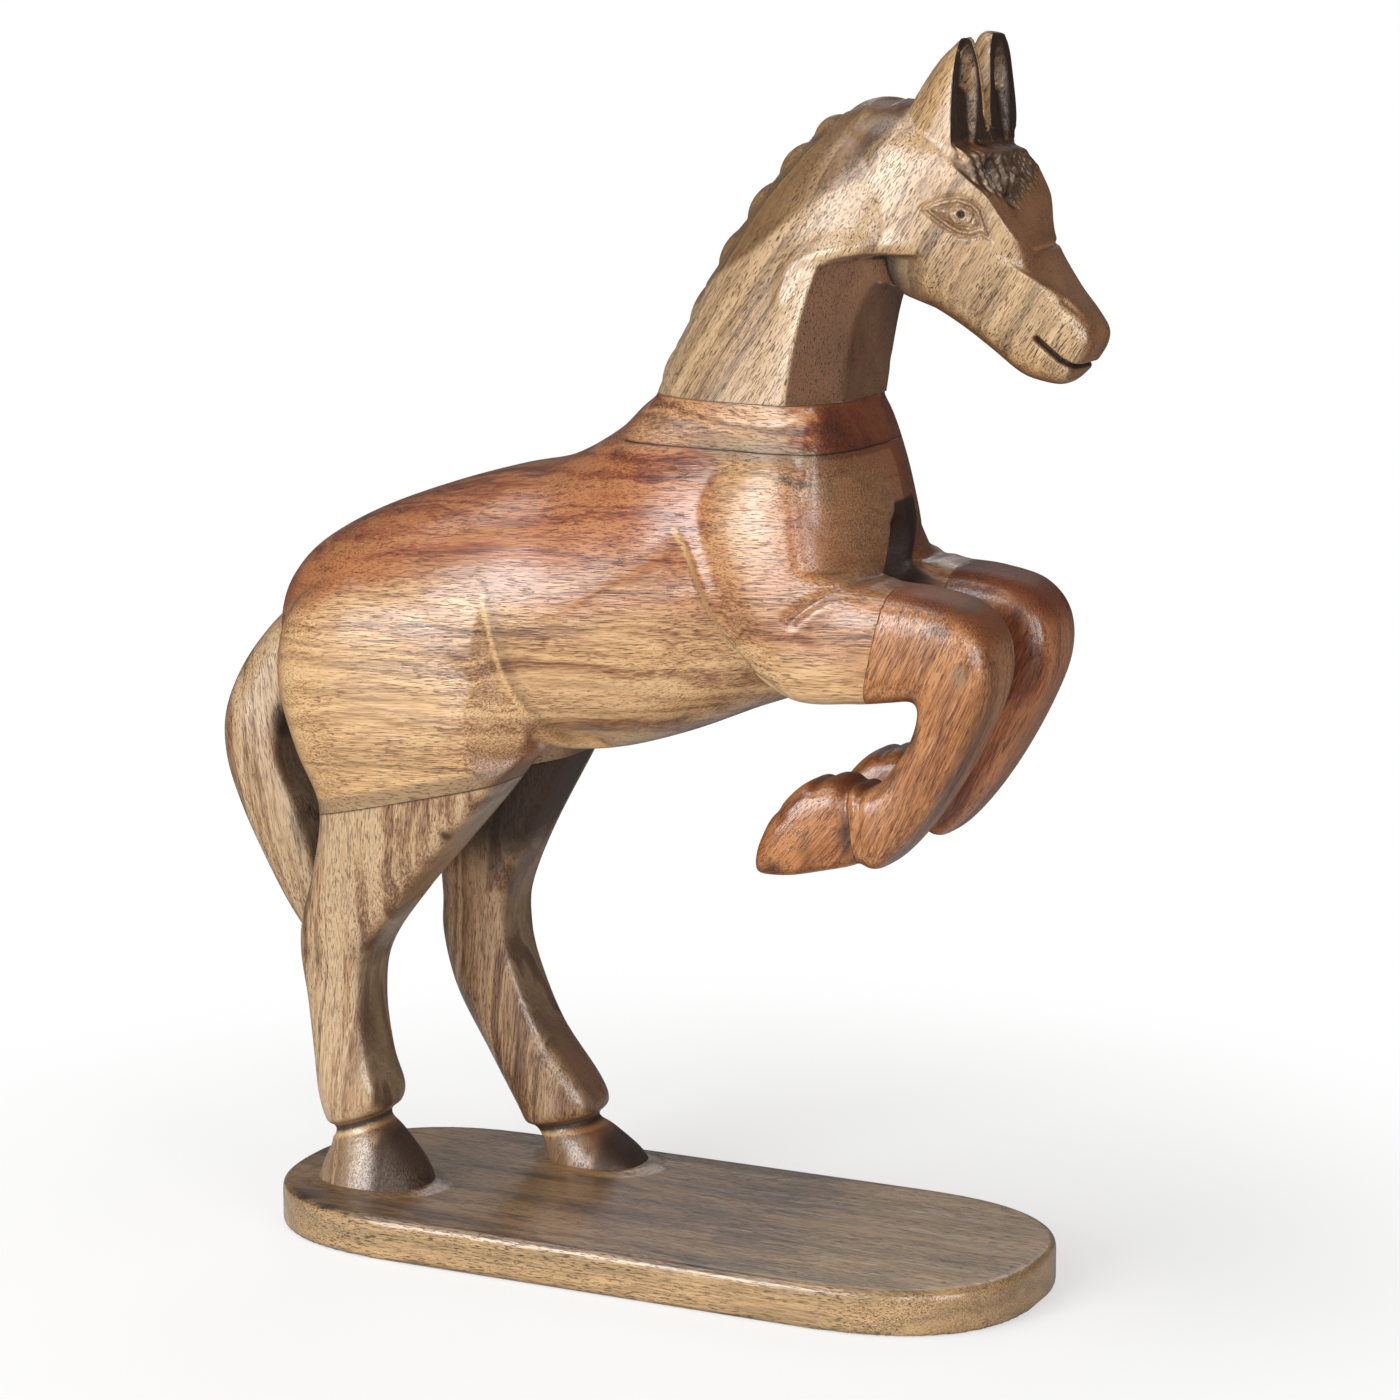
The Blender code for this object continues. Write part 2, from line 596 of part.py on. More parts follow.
def board(materials, parts):
    """The board: straight sides, superelliptic ends and a rounded top edge."""
    curve = bpy.data.curves.new("base_board", "CURVE")
    curve.dimensions = "2D"
    curve.fill_mode = "BOTH"
    curve.extrude = BOARD_THICKNESS / 2
    angles = np.linspace(-math.pi / 2, math.pi / 2, BOARD_END_POINTS)
    power = 2 / BOARD_END_SQUARENESS
    reach = np.abs(np.cos(angles)) ** power * BOARD_END
    aside = np.sign(np.sin(angles)) * np.abs(np.sin(angles)) ** power * BOARD_WIDTH / 2
    shoulder = BOARD_LENGTH / 2 - BOARD_END
    points = [(shoulder + x, y) for x, y in zip(reach, aside)]
    points += [(-x, -y) for x, y in points]
    spline = curve.splines.new("POLY")
    spline.points.add(len(points) - 1)
    for point, (x, y) in zip(spline.points, points):
        point.co = (x, y, 0, 1)
    spline.use_cyclic_u = True
    flat = bpy.data.objects.new("board_outline", curve)
    parts.objects.link(flat)
    flat.location.z = BOARD_THICKNESS / 2
    bpy.context.view_layer.update()
    mesh = bpy.data.meshes.new_from_object(flat.evaluated_get(bpy.context.evaluated_depsgraph_get()))
    mesh.transform(flat.matrix_world)
    bpy.data.objects.remove(flat)
    edit = bmesh.new()
    edit.from_mesh(mesh)
    bmesh.ops.remove_doubles(edit, verts=edit.verts, dist=WELD)
    bmesh.ops.dissolve_limit(edit, angle_limit=FLAT_ANGLE, verts=edit.verts, edges=edit.edges)
    top_edges = [
        e
        for e in edit.edges
        if all(v.co.z > BOARD_THICKNESS / 2 for v in e.verts) and e.calc_face_angle() > CORNER_ANGLE
    ]
    bmesh.ops.bevel(
        edit, geom=top_edges, offset=BOARD_EDGE_ROUND, segments=2, profile=0.5, affect="EDGES"
    )
    bmesh.ops.recalc_face_normals(edit, faces=edit.faces)
    edit.to_mesh(mesh)
    edit.free()
    return piece("base_board", mesh, materials["base_board"], parts)


def screw_places():
    """(x, y) of the screws: two to each hoof, in line along X."""
    return [
        (x + step * SCREW_SPACING / 2, y)
        for x, y in (RIGHT_HOOF, LEFT_HOOF)
        for step in (-1, 1)
    ]


def turned(name, profile, collection):
    """A closed turned mesh: the profile runs down its outer side, from axis to axis."""
    outline = bpy.data.meshes.new(name + "_profile")
    outline.from_pydata([(r, 0, z) for r, z in profile], [(i, i + 1) for i in range(len(profile) - 1)], [])
    turning = bpy.data.objects.new(name + "_profile", outline)
    collection.objects.link(turning)
    spin = turning.modifiers.new("Turn", "SCREW")
    spin.steps = TURNED_STEPS
    spin.render_steps = TURNED_STEPS
    spin.use_merge_vertices = True
    spin.merge_threshold = WELD
    bpy.context.view_layer.update()
    mesh = bpy.data.meshes.new_from_object(turning.evaluated_get(bpy.context.evaluated_depsgraph_get()))
    bpy.data.objects.remove(turning)
    return mesh


def screws(materials, base, legs, parts, guides):
    """Countersunk wood screws up through the board into the hooves, and the holes they need."""
    head = SCREW_HEAD_DIAMETER / 2
    shank = SCREW_DIAMETER / 2
    cone = head - shank
    gap = DOWEL_CLEARANCE
    screw_mesh = turned(
        "base_screw",
        [(0, SCREW_LENGTH), (shank, SCREW_LENGTH - 2 * shank), (shank, cone), (head, 0), (0, 0)],
        guides,
    )
    hole_top = SCREW_LENGTH + gap
    hole_mesh = turned(
        "screw_hole",
        [
            (0, hole_top),
            (shank + gap, hole_top),
            (shank + gap, cone + gap),
            (head + gap, gap / 2),
            (head + gap, -2 * SCREW_RECESS),
            (0, -2 * SCREW_RECESS),
        ],
        guides,
    )
    for number, (x, y) in enumerate(screw_places(), 1):
        screw = piece(f"base_screw_{number}", screw_mesh, materials["base_screws"], parts)
        hole = cutter(f"screw_hole_{number}", hole_mesh, guides)
        screw.location = hole.location = (x, y, SCREW_RECESS)
        for obj in [base, *legs]:
            cut(obj, hole)


def place(x, y, height):
    return Vector((x, y, height + BOARD_THICKNESS))


def neck_edges(height):
    """x of the crest and of the throat, at a height of the neck."""
    crest = np.array([(z, x) for x, z, *_ in NECK]) * MM
    throat = np.array([(z, x) for _, _, x, z, *_ in NECK]) * MM
    return np.interp(height, *crest.T), np.interp(height, *throat.T)


def join_blocks(blocks, material, parts, guides):
    """Dowels across every glue face."""
    withers_height = NECK_JOINT_HEIGHT - WITHERS_BOARD_THICKNESS / 2
    crest, throat = neck_edges(withers_height + NECK_DOWEL_LENGTH / 2)
    neck_xs = (crest + NECK_DOWEL_FROM_CREST, throat - NECK_DOWEL_FROM_THROAT)

    def join(name, placed, diameter, length, *names):
        dowels(name, placed, diameter, length, [blocks[n] for n in names], material, parts, guides)

    neck_ways = [(x, y) for x in neck_xs for y in (-NECK_DOWEL_SIDE, NECK_DOWEL_SIDE)]
    join(
        "neck_dowel",
        [(place(x, y, withers_height), (0, 0, 1)) for x, y in neck_ways],
        DOWEL_DIAMETER,
        NECK_DOWEL_LENGTH,
        "trunk",
        "withers_block",
        "neck_and_head",
    )
    join(
        "left_shoulder_dowel",
        [(place(SHOULDER_DOWEL_X, WITHERS_SEAM_Y, withers_height), (0, 1, 0))],
        HOOF_DOWEL_DIAMETER,
        SHOULDER_DOWEL_LENGTH,
        "withers_block",
        "left_shoulder_block",
    )
    join(
        "tail_dowel",
        [(place(TAIL_JOINT_X, 0, TAIL_DOWEL_HEIGHT), (1, 0, 0))],
        HOOF_DOWEL_DIAMETER,
        TAIL_DOWEL_LENGTH,
        "trunk",
        "tail",
    )
    hind_normal = (-math.sin(HIND_JOINT_SLOPE), 0, math.cos(HIND_JOINT_SLOPE))
    fore_normal = (math.cos(FORE_JOINT_LEAN), 0, -math.sin(FORE_JOINT_LEAN))
    hoof_normal = (math.cos(HOOF_JOINT_LEAN), 0, -math.sin(HOOF_JOINT_LEAN))
    for name, side in (("right", -1), ("left", 1)):
        y = side * LEG_DOWEL_SIDE
        join(
            name + "_hind_dowel",
            [(place(x, y, hind_joint_height(x)), hind_normal) for x in HIND_DOWEL_XS],
            DOWEL_DIAMETER,
            LEG_DOWEL_LENGTH,
            "trunk",
            name + "_hind_leg",
        )
        fore = []
        for step in (-FORE_DOWEL_SPACING / 2, FORE_DOWEL_SPACING / 2):
            at_height = FORE_JOINT_HEIGHT + step
            x, height = lean_line(FORE_JOINT_X, FORE_JOINT_HEIGHT, FORE_JOINT_LEAN, at_height)
            fore.append((place(x, y, height), fore_normal))
        join(
            name + "_foreleg_dowel",
            fore,
            DOWEL_DIAMETER,
            LEG_DOWEL_LENGTH,
            "trunk",
            name + "_foreleg",
        )
        join(
            name + "_hoof_dowel",
            [(place(HOOF_JOINT_X, y, HOOF_JOINT_HEIGHT), hoof_normal)],
            HOOF_DOWEL_DIAMETER,
            HOOF_DOWEL_LENGTH,
            name + "_foreleg",
            name + "_fore_hoof",
        )


def make_materials():
    tan = wood("tan_wood", (0.42, 0.27, 0.14), 0.4)
    red = wood("red_brown_wood", (0.4, 0.17, 0.08), 0.35)
    pale = wood("pale_wood", (0.5, 0.35, 0.2), 0.4)
    dowel = wood("dowel_wood", (0.62, 0.47, 0.3), 0.6)
    steel = wood("zinc_steel", (0.6, 0.6, 0.6), 0.35)
    steel.node_tree.nodes["Principled BSDF"].inputs["Metallic"].default_value = 1
    return {
        "trunk": red,
        "withers_block": red,
        "left_shoulder_block": red,
        "neck_and_head": pale,
        "tail": tan,
        "right_hind_leg": tan,
        "left_hind_leg": tan,
        "right_foreleg": red,
        "left_foreleg": red,
        "right_fore_hoof": red,
        "left_fore_hoof": red,
        "base_board": tan,
        "dowels": dowel,
        "base_screws": steel,
    }


def main():
    clear_scene()
    parts = new_collection("wooden_foal")
    guides = new_collection("cutters")
    materials = make_materials()
    figure = carved_figure(guides)
    blocks = carve_blocks(figure, materials, parts, guides)
    base = board(materials, parts)
    join_blocks(blocks, materials["dowels"], parts, guides)
    screws(materials, base, [blocks["right_hind_leg"], blocks["left_hind_leg"]], parts, guides)


main()
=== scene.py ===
"""The looks of a rearing foal carved from glued wooden blocks and varnished.

One fine carved surface is made from the same rungs as the solid model, worked over with facets,
creases, locks, eyes and rings, and cut into its blocks along the glue faces. Each block then gets
its own cut of wood. Tables are in millimetres.
"""
import math

import bmesh
import bpy
import numpy as np
from bpy.props import FloatProperty, FloatVectorProperty, PointerProperty
from mathutils import Matrix, Vector


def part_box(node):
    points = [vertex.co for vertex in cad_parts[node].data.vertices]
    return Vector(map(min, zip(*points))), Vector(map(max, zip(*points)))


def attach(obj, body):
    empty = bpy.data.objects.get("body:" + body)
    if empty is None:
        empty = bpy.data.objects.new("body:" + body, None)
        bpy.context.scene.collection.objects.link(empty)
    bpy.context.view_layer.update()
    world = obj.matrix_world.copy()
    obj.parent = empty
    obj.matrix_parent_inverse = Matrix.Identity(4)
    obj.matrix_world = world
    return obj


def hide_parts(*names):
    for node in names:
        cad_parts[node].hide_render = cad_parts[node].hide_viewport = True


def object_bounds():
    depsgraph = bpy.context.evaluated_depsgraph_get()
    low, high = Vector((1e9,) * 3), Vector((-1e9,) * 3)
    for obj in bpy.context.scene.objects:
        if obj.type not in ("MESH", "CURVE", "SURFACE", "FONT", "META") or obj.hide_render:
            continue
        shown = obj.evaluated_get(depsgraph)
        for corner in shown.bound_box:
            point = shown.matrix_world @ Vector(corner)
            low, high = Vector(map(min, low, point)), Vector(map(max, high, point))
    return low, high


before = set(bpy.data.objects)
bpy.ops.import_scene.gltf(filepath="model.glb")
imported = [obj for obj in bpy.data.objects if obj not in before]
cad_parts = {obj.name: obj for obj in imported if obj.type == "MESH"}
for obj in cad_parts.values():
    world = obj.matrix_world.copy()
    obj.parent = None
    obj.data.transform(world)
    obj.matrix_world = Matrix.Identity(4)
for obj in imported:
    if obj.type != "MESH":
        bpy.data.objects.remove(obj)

bl_info = {
    "name": "Carved wooden foal",
    "version": (1, 0, 0),
    "blender": (4, 5, 0),
    "location": "View3D > Sidebar > Foal",
    "description": "Carves a rearing foal from glued wooden blocks, with its board and a pale stage",
    "category": "Object",
}

MM = 0.001
CAD_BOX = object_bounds()
BOARD_LOW, BOARD_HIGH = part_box("base_board")
BOARD_TOP = BOARD_HIGH[2] / MM

# Glue faces, as in the solid model. Heights are above the board's top face, and a joint of a leg is
# a point on it and its slope.
NECK_JOINT = 288.5
WITHERS_FOOT = NECK_JOINT - 15.0
WITHERS_SEAM_Y = 22.0
SHOULDER_BLOCK_FRONT = 95.0
SHOULDER_BLOCK_REAR = 8.0
SHOULDER_BLOCK_SLOPE = math.radians(51)
TAIL_JOINT_X = -144.0
HIND_JOINT = (-72.0, 147.0, math.radians(13.5))
FORE_JOINT = (98.5, 213.5, math.radians(12))
HOOF_JOINT = (89.0, 151.5, math.radians(-6.5))
STOCK_HALF_WIDTH = 70.0
GLUE_LINE = 0.14
SEAM = GLUE_LINE / 2

# Each rung crosses a form from its A edge to its B edge, in side view: (A x, A height, B x,
# B height, sideways place, half width, squareness at A, squareness at B, taper to A).
TRUNK = [
    (-146, 198, -145, 186, 0, 8, 2.2, 2.2, 0),
    (-143, 211.5, -139.5, 172, 0, 16, 2.3, 2.4, 0),
    (-136.5, 221.5, -131, 163.5, 0, 25, 2.4, 2.6, 0),
    (-125.5, 231.5, -118, 161.5, 0, 33, 2.4, 2.8, -0.05),
    (-105, 242.5, -96, 161.5, 0, 40, 2.4, 3, -0.08),
    (-78, 252.5, -70, 164.5, 0, 43, 2.4, 3, -0.1),
    (-52, 260, -42, 162.5, 0, 43, 2.4, 2.6, -0.08),
    (-30, 265, -15, 163.5, 0, 42, 2.3, 2.3, -0.05),
    (-10, 276, 12, 171, 0, 42, 2.3, 2.3, -0.05),
    (4, 288, 38, 181.5, 0, 43, 2.4, 2.3, -0.1),
    (26, 296, 59, 190, 0, 43, 2.5, 2.5, -0.15),
    (52, 298, 74, 202, 0, 42, 2.6, 2.8, -0.15),
    (70, 294, 81, 217, 0, 40, 3, 3, -0.08),
    (79, 277, 87, 233, 0, 34, 3.4, 3.4, 0),
    (84, 266, 89, 246, 0, 24, 3, 3, 0),
]
NECK = [
    (0, 271, 72, 271, 0, 31, 2.4, 4.5, -0.12),
    (3, 287, 74.5, 288, 0, 30.5, 2.6, 5, -0.15),
    (13, 309, 77, 306, 0, 29.5, 2.6, 5, -0.2),
    (25, 331, 80.5, 321, 0, 28, 2.6, 5, -0.22),
    (41, 354, 88, 334, 0, 26, 2.5, 4, -0.2),
    (59, 373.5, 97, 345, 0, 23.5, 2.4, 3, -0.15),
    (77, 385.5, 106, 355, 0, 20, 2.3, 2.5, -0.1),
    (88, 387, 110, 363, 0, 14, 2.3, 2.3, 0),
]
HEAD = [
    (80, 387, 66, 336, 0, 19, 2.6, 2.6, 0),
    (94, 386.5, 76.5, 330, 0, 22.5, 3, 2.8, 0),
    (110, 380.5, 92, 325.5, 0, 23, 4, 3, 0),
    (125, 371.5, 105, 319.5, 0, 21.5, 6, 3.2, 0),
    (134, 360, 115, 313.5, 0, 19.5, 7, 3.2, 0),
    (137.5, 344, 124, 307, 0, 16.5, 7, 3.2, 0),
    (147, 329.5, 133, 300, 0, 14, 6, 3, 0),
    (155, 321, 140, 297.5, 0, 12.5, 4, 2.8, 0),
    (159, 315.5, 147.5, 297, 0, 11, 3.4, 2.6, 0),
    (159.5, 311.5, 153, 301.5, 0, 8, 2.6, 2.3, 0),
]
EAR = [
    (85, 363, 109, 357, 12, 6.5, 1.8, 3, -0.1),
    (91.5, 374, 117, 367.5, 12.5, 8, 1.7, 5, -0.2),
    (97.5, 386.5, 121.5, 380, 12.5, 8.2, 1.7, 6, -0.25),
    (105.5, 398.5, 122.5, 392, 12.5, 7.2, 1.7, 6, -0.25),
    (109.5, 406.5, 121.5, 401.5, 12.5, 6.3, 1.8, 5, -0.2),
    (112.5, 409, 119.5, 407.5, 12.5, 4.3, 2, 3, 0),
]
NEAR_EAR_TIP = [
    (111.5, 404.6, 121, 400.2, 13.7, 4.6, 1.7, 5, -0.2),
    (115, 407.4, 118.8, 406.4, 13.7, 2.6, 2, 3, 0),
]
FORELEG = [
    (60, 283, 24, 261, 24, 12, 2.3, 2.3, 0),
    (70, 276, 23, 246, 27.5, 15, 2.4, 2.4, 0),
    (77, 261, 30, 226, 29, 16.5, 2.5, 2.5, 0),
    (85, 243, 44, 206, 29, 18, 2.6, 2.6, 0),
    (91, 235, 66, 192.5, 28, 18.5, 3.8, 4, 0),
    (98, 232, 88, 192.5, 28, 18.5, 3.8, 4, 0),
    (111, 231, 101, 194, 28, 18, 3.8, 4, 0),
    (127, 227, 108, 195, 28, 17.5, 3.8, 4, 0),
    (136, 217, 111, 193.5, 28, 17, 3.8, 4, 0),
    (137, 202, 110.5, 187.5, 28, 16.5, 3.8, 4, 0),
    (130.5, 184, 107, 179.5, 28, 15.5, 3.8, 4, 0),
    (119.5, 163.5, 100, 170, 28, 14.5, 3.8, 4, 0),
    (107.5, 147, 94.5, 165.5, 28, 14.5, 3.8, 4, 0),
    (97.5, 138, 89, 165.5, 28, 14.5, 3.8, 4, 0),
    (90.5, 139, 86.5, 164.5, 28, 12.5, 3.8, 4, 0),
    (86, 137.5, 82.5, 167, 28, 14, 3.8, 4, 0),
    (76, 135, 71, 165, 28, 15, 3.8, 4, 0),
    (66.5, 133, 61.5, 155.5, 28, 15.5, 3.8, 4, 0),
    (57.5, 132, 56, 146.5, 28, 14, 2.8, 2.6, 0),
    (54, 132, 53.5, 138.5, 28, 10, 2.4, 2.4, 0),
]
HIP = [(-112, 225, -62, 231, 20, 14, 2.4, 2.4, 0), (-130, 207, -50, 217, 23, 19.5, 3, 4.2, 0)]
RIGHT_HIND_LEG = [
    *HIP,
    (-134, 183, -42, 195, 25, 19.5, 3, 5, 0),
    (-127, 159, -33, 172, 26, 18.5, 3, 5, 0),
    (-118, 139, -43.5, 154, 26, 17, 3, 5, 0),
    (-121, 117, -64, 130, 25, 15.5, 3, 5, 0),
    (-127.5, 97, -83, 109, 23, 14, 3, 5, 0),
    (-129, 84, -99, 87, 21.5, 13, 3, 5, 0),
    (-127, 67.5, -102.5, 67.5, 20.5, 12.5, 3, 5, 0),
    (-125, 47.5, -100, 47.5, 20, 13, 3, 4.2, 0),
    (-123.5, 33, -96.5, 35, 19.5, 14, 3, 4.2, 0),
    (-122, 22, -96.5, 29, 19, 13, 2.3, 2.8, 0),
    (-119, 18, -99.5, 24, 18.8, 10.5, 2.2, 2.4, 0),
    (-120, 14.5, -95, 19.5, 18.6, 11.5, 2.2, 2.4, 0),
    (-124, 6, -86, 8, 18.6, 15, 2.2, 2.4, 0),
    (-126.5, -1, -82.5, -1, 18.6, 17, 2.2, 2.4, 0),
    (-126.5, -5, -82.5, -5, 18.6, 17, 2.2, 2.4, 0),
]
LEFT_HIND_LEG = [
    *HIP,
    (-134, 183, -41, 195, 25, 19.5, 3, 5, 0),
    (-124, 159, -32.5, 172, 26, 18.5, 3, 5, 0),
    (-112, 139, -44, 152, 27, 17, 3, 5, 0),
    (-101.5, 118, -60.5, 123, 28.5, 15.5, 3, 5, 0),
    (-99.5, 99, -70, 101.5, 30, 14, 3, 5, 0),
    (-100, 82.5, -71.5, 88.5, 31, 13.5, 3, 5, 0),
    (-95, 61.5, -69, 73.5, 32, 13, 3, 5, 0),
    (-83.5, 39.5, -59.5, 50, 34, 13, 3, 4.2, 0),
    (-73.5, 20, -44.5, 30, 35.5, 14, 2.6, 3, 0),
    (-70, 12, -41, 21.5, 36, 13.5, 2.3, 2.8, 0),
    (-66, 10, -43.5, 16, 36.1, 10.5, 2.2, 2.4, 0),
    (-64, 7.5, -37.5, 12, 36.1, 12, 2.2, 2.4, 0),
    (-62, 2, -27, 4, 36.1, 14.5, 2.2, 2.4, 0),
    (-61.5, -3, -22, -3, 36.1, 15, 2.2, 2.4, 0),
    (-61.5, -6, -22, -6, 36.1, 15, 2.2, 2.4, 0),
]
TAIL = [
    (-140, 209, -136, 187, 0, 9.5, 2, 2.2, 0),
    (-154, 196.5, -140, 179, 0, 10.5, 2, 2.4, 0),
    (-166, 181, -145, 164, 0, 11.5, 2.1, 6, 0),
    (-173, 164, -147.5, 152, 0, 12.5, 2.2, 6, 0),
    (-173, 147, -144.5, 141, 0, 12.5, 2.2, 6, 0),
    (-167, 129, -139, 129, 0, 12, 2.2, 6, 0),
    (-158, 111, -134.5, 114, 0, 11, 2.2, 6, 0),
    (-148.5, 94, -131.5, 98, 0, 9, 2.1, 6, 0),
    (-139.5, 80.5, -131, 84.5, 0, 5, 2, 2, 0),
]
# Notches between the locks of the mane, as (x, height above the board).
MANE_NOTCHES = [(93, 387), (70, 382.5), (57.5, 374), (45, 361), (33.5, 346), (23, 329), (12, 308), (2, 288)]
MANE_BULGE = 3.0
MANE_HALF_WIDTH = 8.0
MANE_DEPTH = 9.0
MANE_OVERLAP = 1.2

# Planed facets: the side they are on, a point on each and its outward direction.
CHEST_FACETS = [
    (-1, (77.5, -41, 262), (0.87, -0.47, 0.14)),
    (1, (80, 42, 262), (0.87, 0.43, 0.24)),
]
FOREHEAD_FACET = ((123.8, -20, 375.3), (0.648, -0.205, 0.733))
BROW_FACET = ((130.4, -20, 366.2), (0.845, -0.172, 0.506))
NOSE_TIP_FACET = ((157.8, -12, 325), (0.985, -0.13, 0.12))
NOSE_FACET = ((137.6, -14, 348.9), (0.559, -0.241, 0.794))
THROAT_FACET = ((67.4, -28.6, 326), (0.79, -0.6, -0.12))
EAR_FACETS = [
    (-1, (114.8, -17, 404), (0.94, -0.33, 0.04)),
    (1, (117.6, 9, 408), (0.96, -0.1, 0.08)),
]
EAR_CENTRES = {-1: 4.2, 1: 3.4}

# Carved lines in side view: (x, height above the floor).
FLANK_RIDGE = [
    (-47, 239), (-46, 231), (-41, 211), (-38, 202), (-33, 192), (-26, 184), (-14, 170), (-8, 150),
]
SHOULDER_CREASE = [(23, 264), (28.5, 256), (32.5, 246), (37, 236), (44, 224), (54, 214.5), (64, 210)]
BREAST_CREASE = [(70, 236), (76, 241), (84, 246), (92, 250)]
EYE_RIM = [
    (104, 368.7), (107.2, 370.9), (111.8, 372.6), (117.3, 373.3), (121.8, 372), (124.9, 369.1),
    (126.5, 364), (128.3, 358), (124, 360.7), (121, 359.6), (117, 360), (112.9, 362.2), (108.8, 364.9),
]
EYE_CENTRE = (117.9, 367.2)
MOUTH = [(141, 327.8), (144.9, 324.3), (148.6, 321), (152.4, 318.9), (157, 317.4)]
NOSTRIL = [(150, 340), (155, 336.5), (160, 332.5)]
CHEEK_LINE = [
    (50, 334), (58, 338), (61, 342), (62.5, 346), (65, 349), (71.4, 351.7), (85.9, 354), (110, 353),
]
HOOF_WEDGE = [(91.5, 186), (92.5, 172), (93.5, 157)]

# Notches in the fore hooves as (x, height, depth), holes in the forelock as (y, height, depth), and
# its strands as (y at the ears, y at the tip, height over the forehead).
HOOF_NOTCHES = [(63.5, 169.5, 1.3), (75.5, 181.5, 1.5)]
FORELOCK_HOLES = [(-8, 371.5, 3), (-14, 383, 2.6), (-3, 380, 2.6), (3, 388, 2.6), (-9, 390, 2.6)]
FORELOCK_STRANDS = [(-17, -9, 2.2), (-11, -8, 3.4), (-5, -6.5, 4), (1, -5, 3.4), (7, -3, 2.2)]

# The rings over the hind hooves: a point on each and its slope. The hooves' lips on the board:
# (x, y, half length, half width).
RIGHT_FETLOCK = ((-107, -18.6, 38.5), math.radians(18))
LEFT_FETLOCK = ((-50, 36, 30.5), math.radians(12))
RING_REACH = 24.0
HOOF_LIPS = [(-104.5, -18.6, 23, 18), (-42, 36.1, 21, 16)]

# The board's plan: the length of each rounded end and the squareness of its curve.
BOARD_END = 67.5
BOARD_SQUARENESS = 2.44
BOARD_FOOT_EDGE = 0.6

# Edges of colours: under the red back, as (x, height), behind the brown chest, as (height, x), under
# the golden crest and the golden jaw, as (x, height), and the dark strip on the left hind leg, as
# (height, x).
RED_EDGE = [
    (-145, 216), (-120, 222), (-80, 234), (-50, 230), (-16, 226), (14, 230), (40, 228), (70, 224),
    (95, 216),
]
CHEST_EDGE = [(238, 75.1), (246, 69.9), (252, 69.4), (257, 73.3), (265, 75.4), (275, 73.6), (285, 73.1)]
JAW_EDGE = [(90, 346), (97, 342), (157, 309)]
NECK_BROWN = [(12, 328), (30, 343), (43, 350), (53, 358), (72, 371), (88, 378), (100, 389)]
LEFT_HIND_STRIP = [(57, -44), (86, -63), (100, -69), (112, -68), (141, -61), (168, -53)]

# Marks on the right side by block: (x, height above the floor, half length, half height, amount).
# The amount is how dark a stain is; below 0 it is how strongly filler shows.
SPOTS = {
    "trunk": [
        (-56, 256, 4, 0.8, 0.5), (-51, 259, 3, 0.8, -0.8), (44, 273.5, 3.5, 0.7, 0.5),
        (47, 275.5, 3, 0.8, -0.8), (92, 226, 6, 6, 0.25), (-118, 214, 22, 0.8, 0.35),
        (-95, 197, 30, 1.2, 0.3), (-8, 207, 26, 2, 0.3),
    ],
    "withers": [(58, 296, 16, 4, 0.35), (34, 306, 6, 2, -0.9)],
    "fore": [(127, 243, 3.5, 2, -1), (128.5, 222, 3, 4, -1), (111, 204, 3, 12, 0.6), (121, 236, 6, 3, 0.4)],
    "hoof": [(82, 176, 1.6, 1, -1), (88, 166, 3, 12, 0.55), (62, 152, 5, 4, 0.5), (74, 160, 3, 10, 0.35)],
    "neck": [(66, 384, 14, 3, 0.4), (52, 364, 10, 2.5, 0.35), (34, 306.5, 7, 1.6, -0.8)],
    "hind": [
        (-41, 160, 5, 7, 0.5), (-63.3, 150, 2, 2.6, 0.65), (-98, 95, 3, 9, 0.6), (-104, 60, 4, 10, 0.3),
        (-92, 52, 4, 2.5, 0.5), (-118, 100, 2, 14, 0.35), (-84, 118, 12, 3, 0.3),
    ],
    "tail": [(-146, 177, 3.5, 10, 0.75), (-139, 146, 3, 20, 0.5), (-162, 120, 3, 12, 0.35)],
}

# The body's blocks: the node, its outline, its right and left ends, a name for its wood, and the
# dowels and screws that enter it.
WHOLE = (-STOCK_HALF_WIDTH, STOCK_HALF_WIDTH)
RIGHT = (-STOCK_HALF_WIDTH, -SEAM)
LEFT = (SEAM, STOCK_HALF_WIDTH)
TRUNK_DOWELS = [
    "neck_dowel", "tail_dowel", "right_hind_dowel", "left_hind_dowel", "right_foreleg_dowel",
    "left_foreleg_dowel",
]
BODY_BLOCKS = [
    ("trunk", "trunk", *WHOLE, "trunk_wood", TRUNK_DOWELS),
    (
        "withers_block", "withers", -STOCK_HALF_WIDTH, WITHERS_SEAM_Y - SEAM, "red_wood",
        ["neck_dowel", "left_shoulder_dowel"],
    ),
    ("tail", "tail", *WHOLE, "leg_wood", ["tail_dowel"]),
    ("right_hind_leg", "hind", *RIGHT, "leg_wood", ["right_hind_dowel", "base_screw"]),
    ("left_hind_leg", "hind", *LEFT, "leg_wood", ["left_hind_dowel", "base_screw"]),
    ("right_foreleg", "fore", *RIGHT, "red_wood", ["right_foreleg_dowel", "right_hoof_dowel"]),
    ("left_foreleg", "fore", *LEFT, "red_wood", ["left_foreleg_dowel", "left_hoof_dowel"]),
    ("right_fore_hoof", "hoof", *RIGHT, "hoof_wood", ["right_hoof_dowel"]),
    ("left_fore_hoof", "hoof", *LEFT, "hoof_wood", ["left_hoof_dowel"]),
]

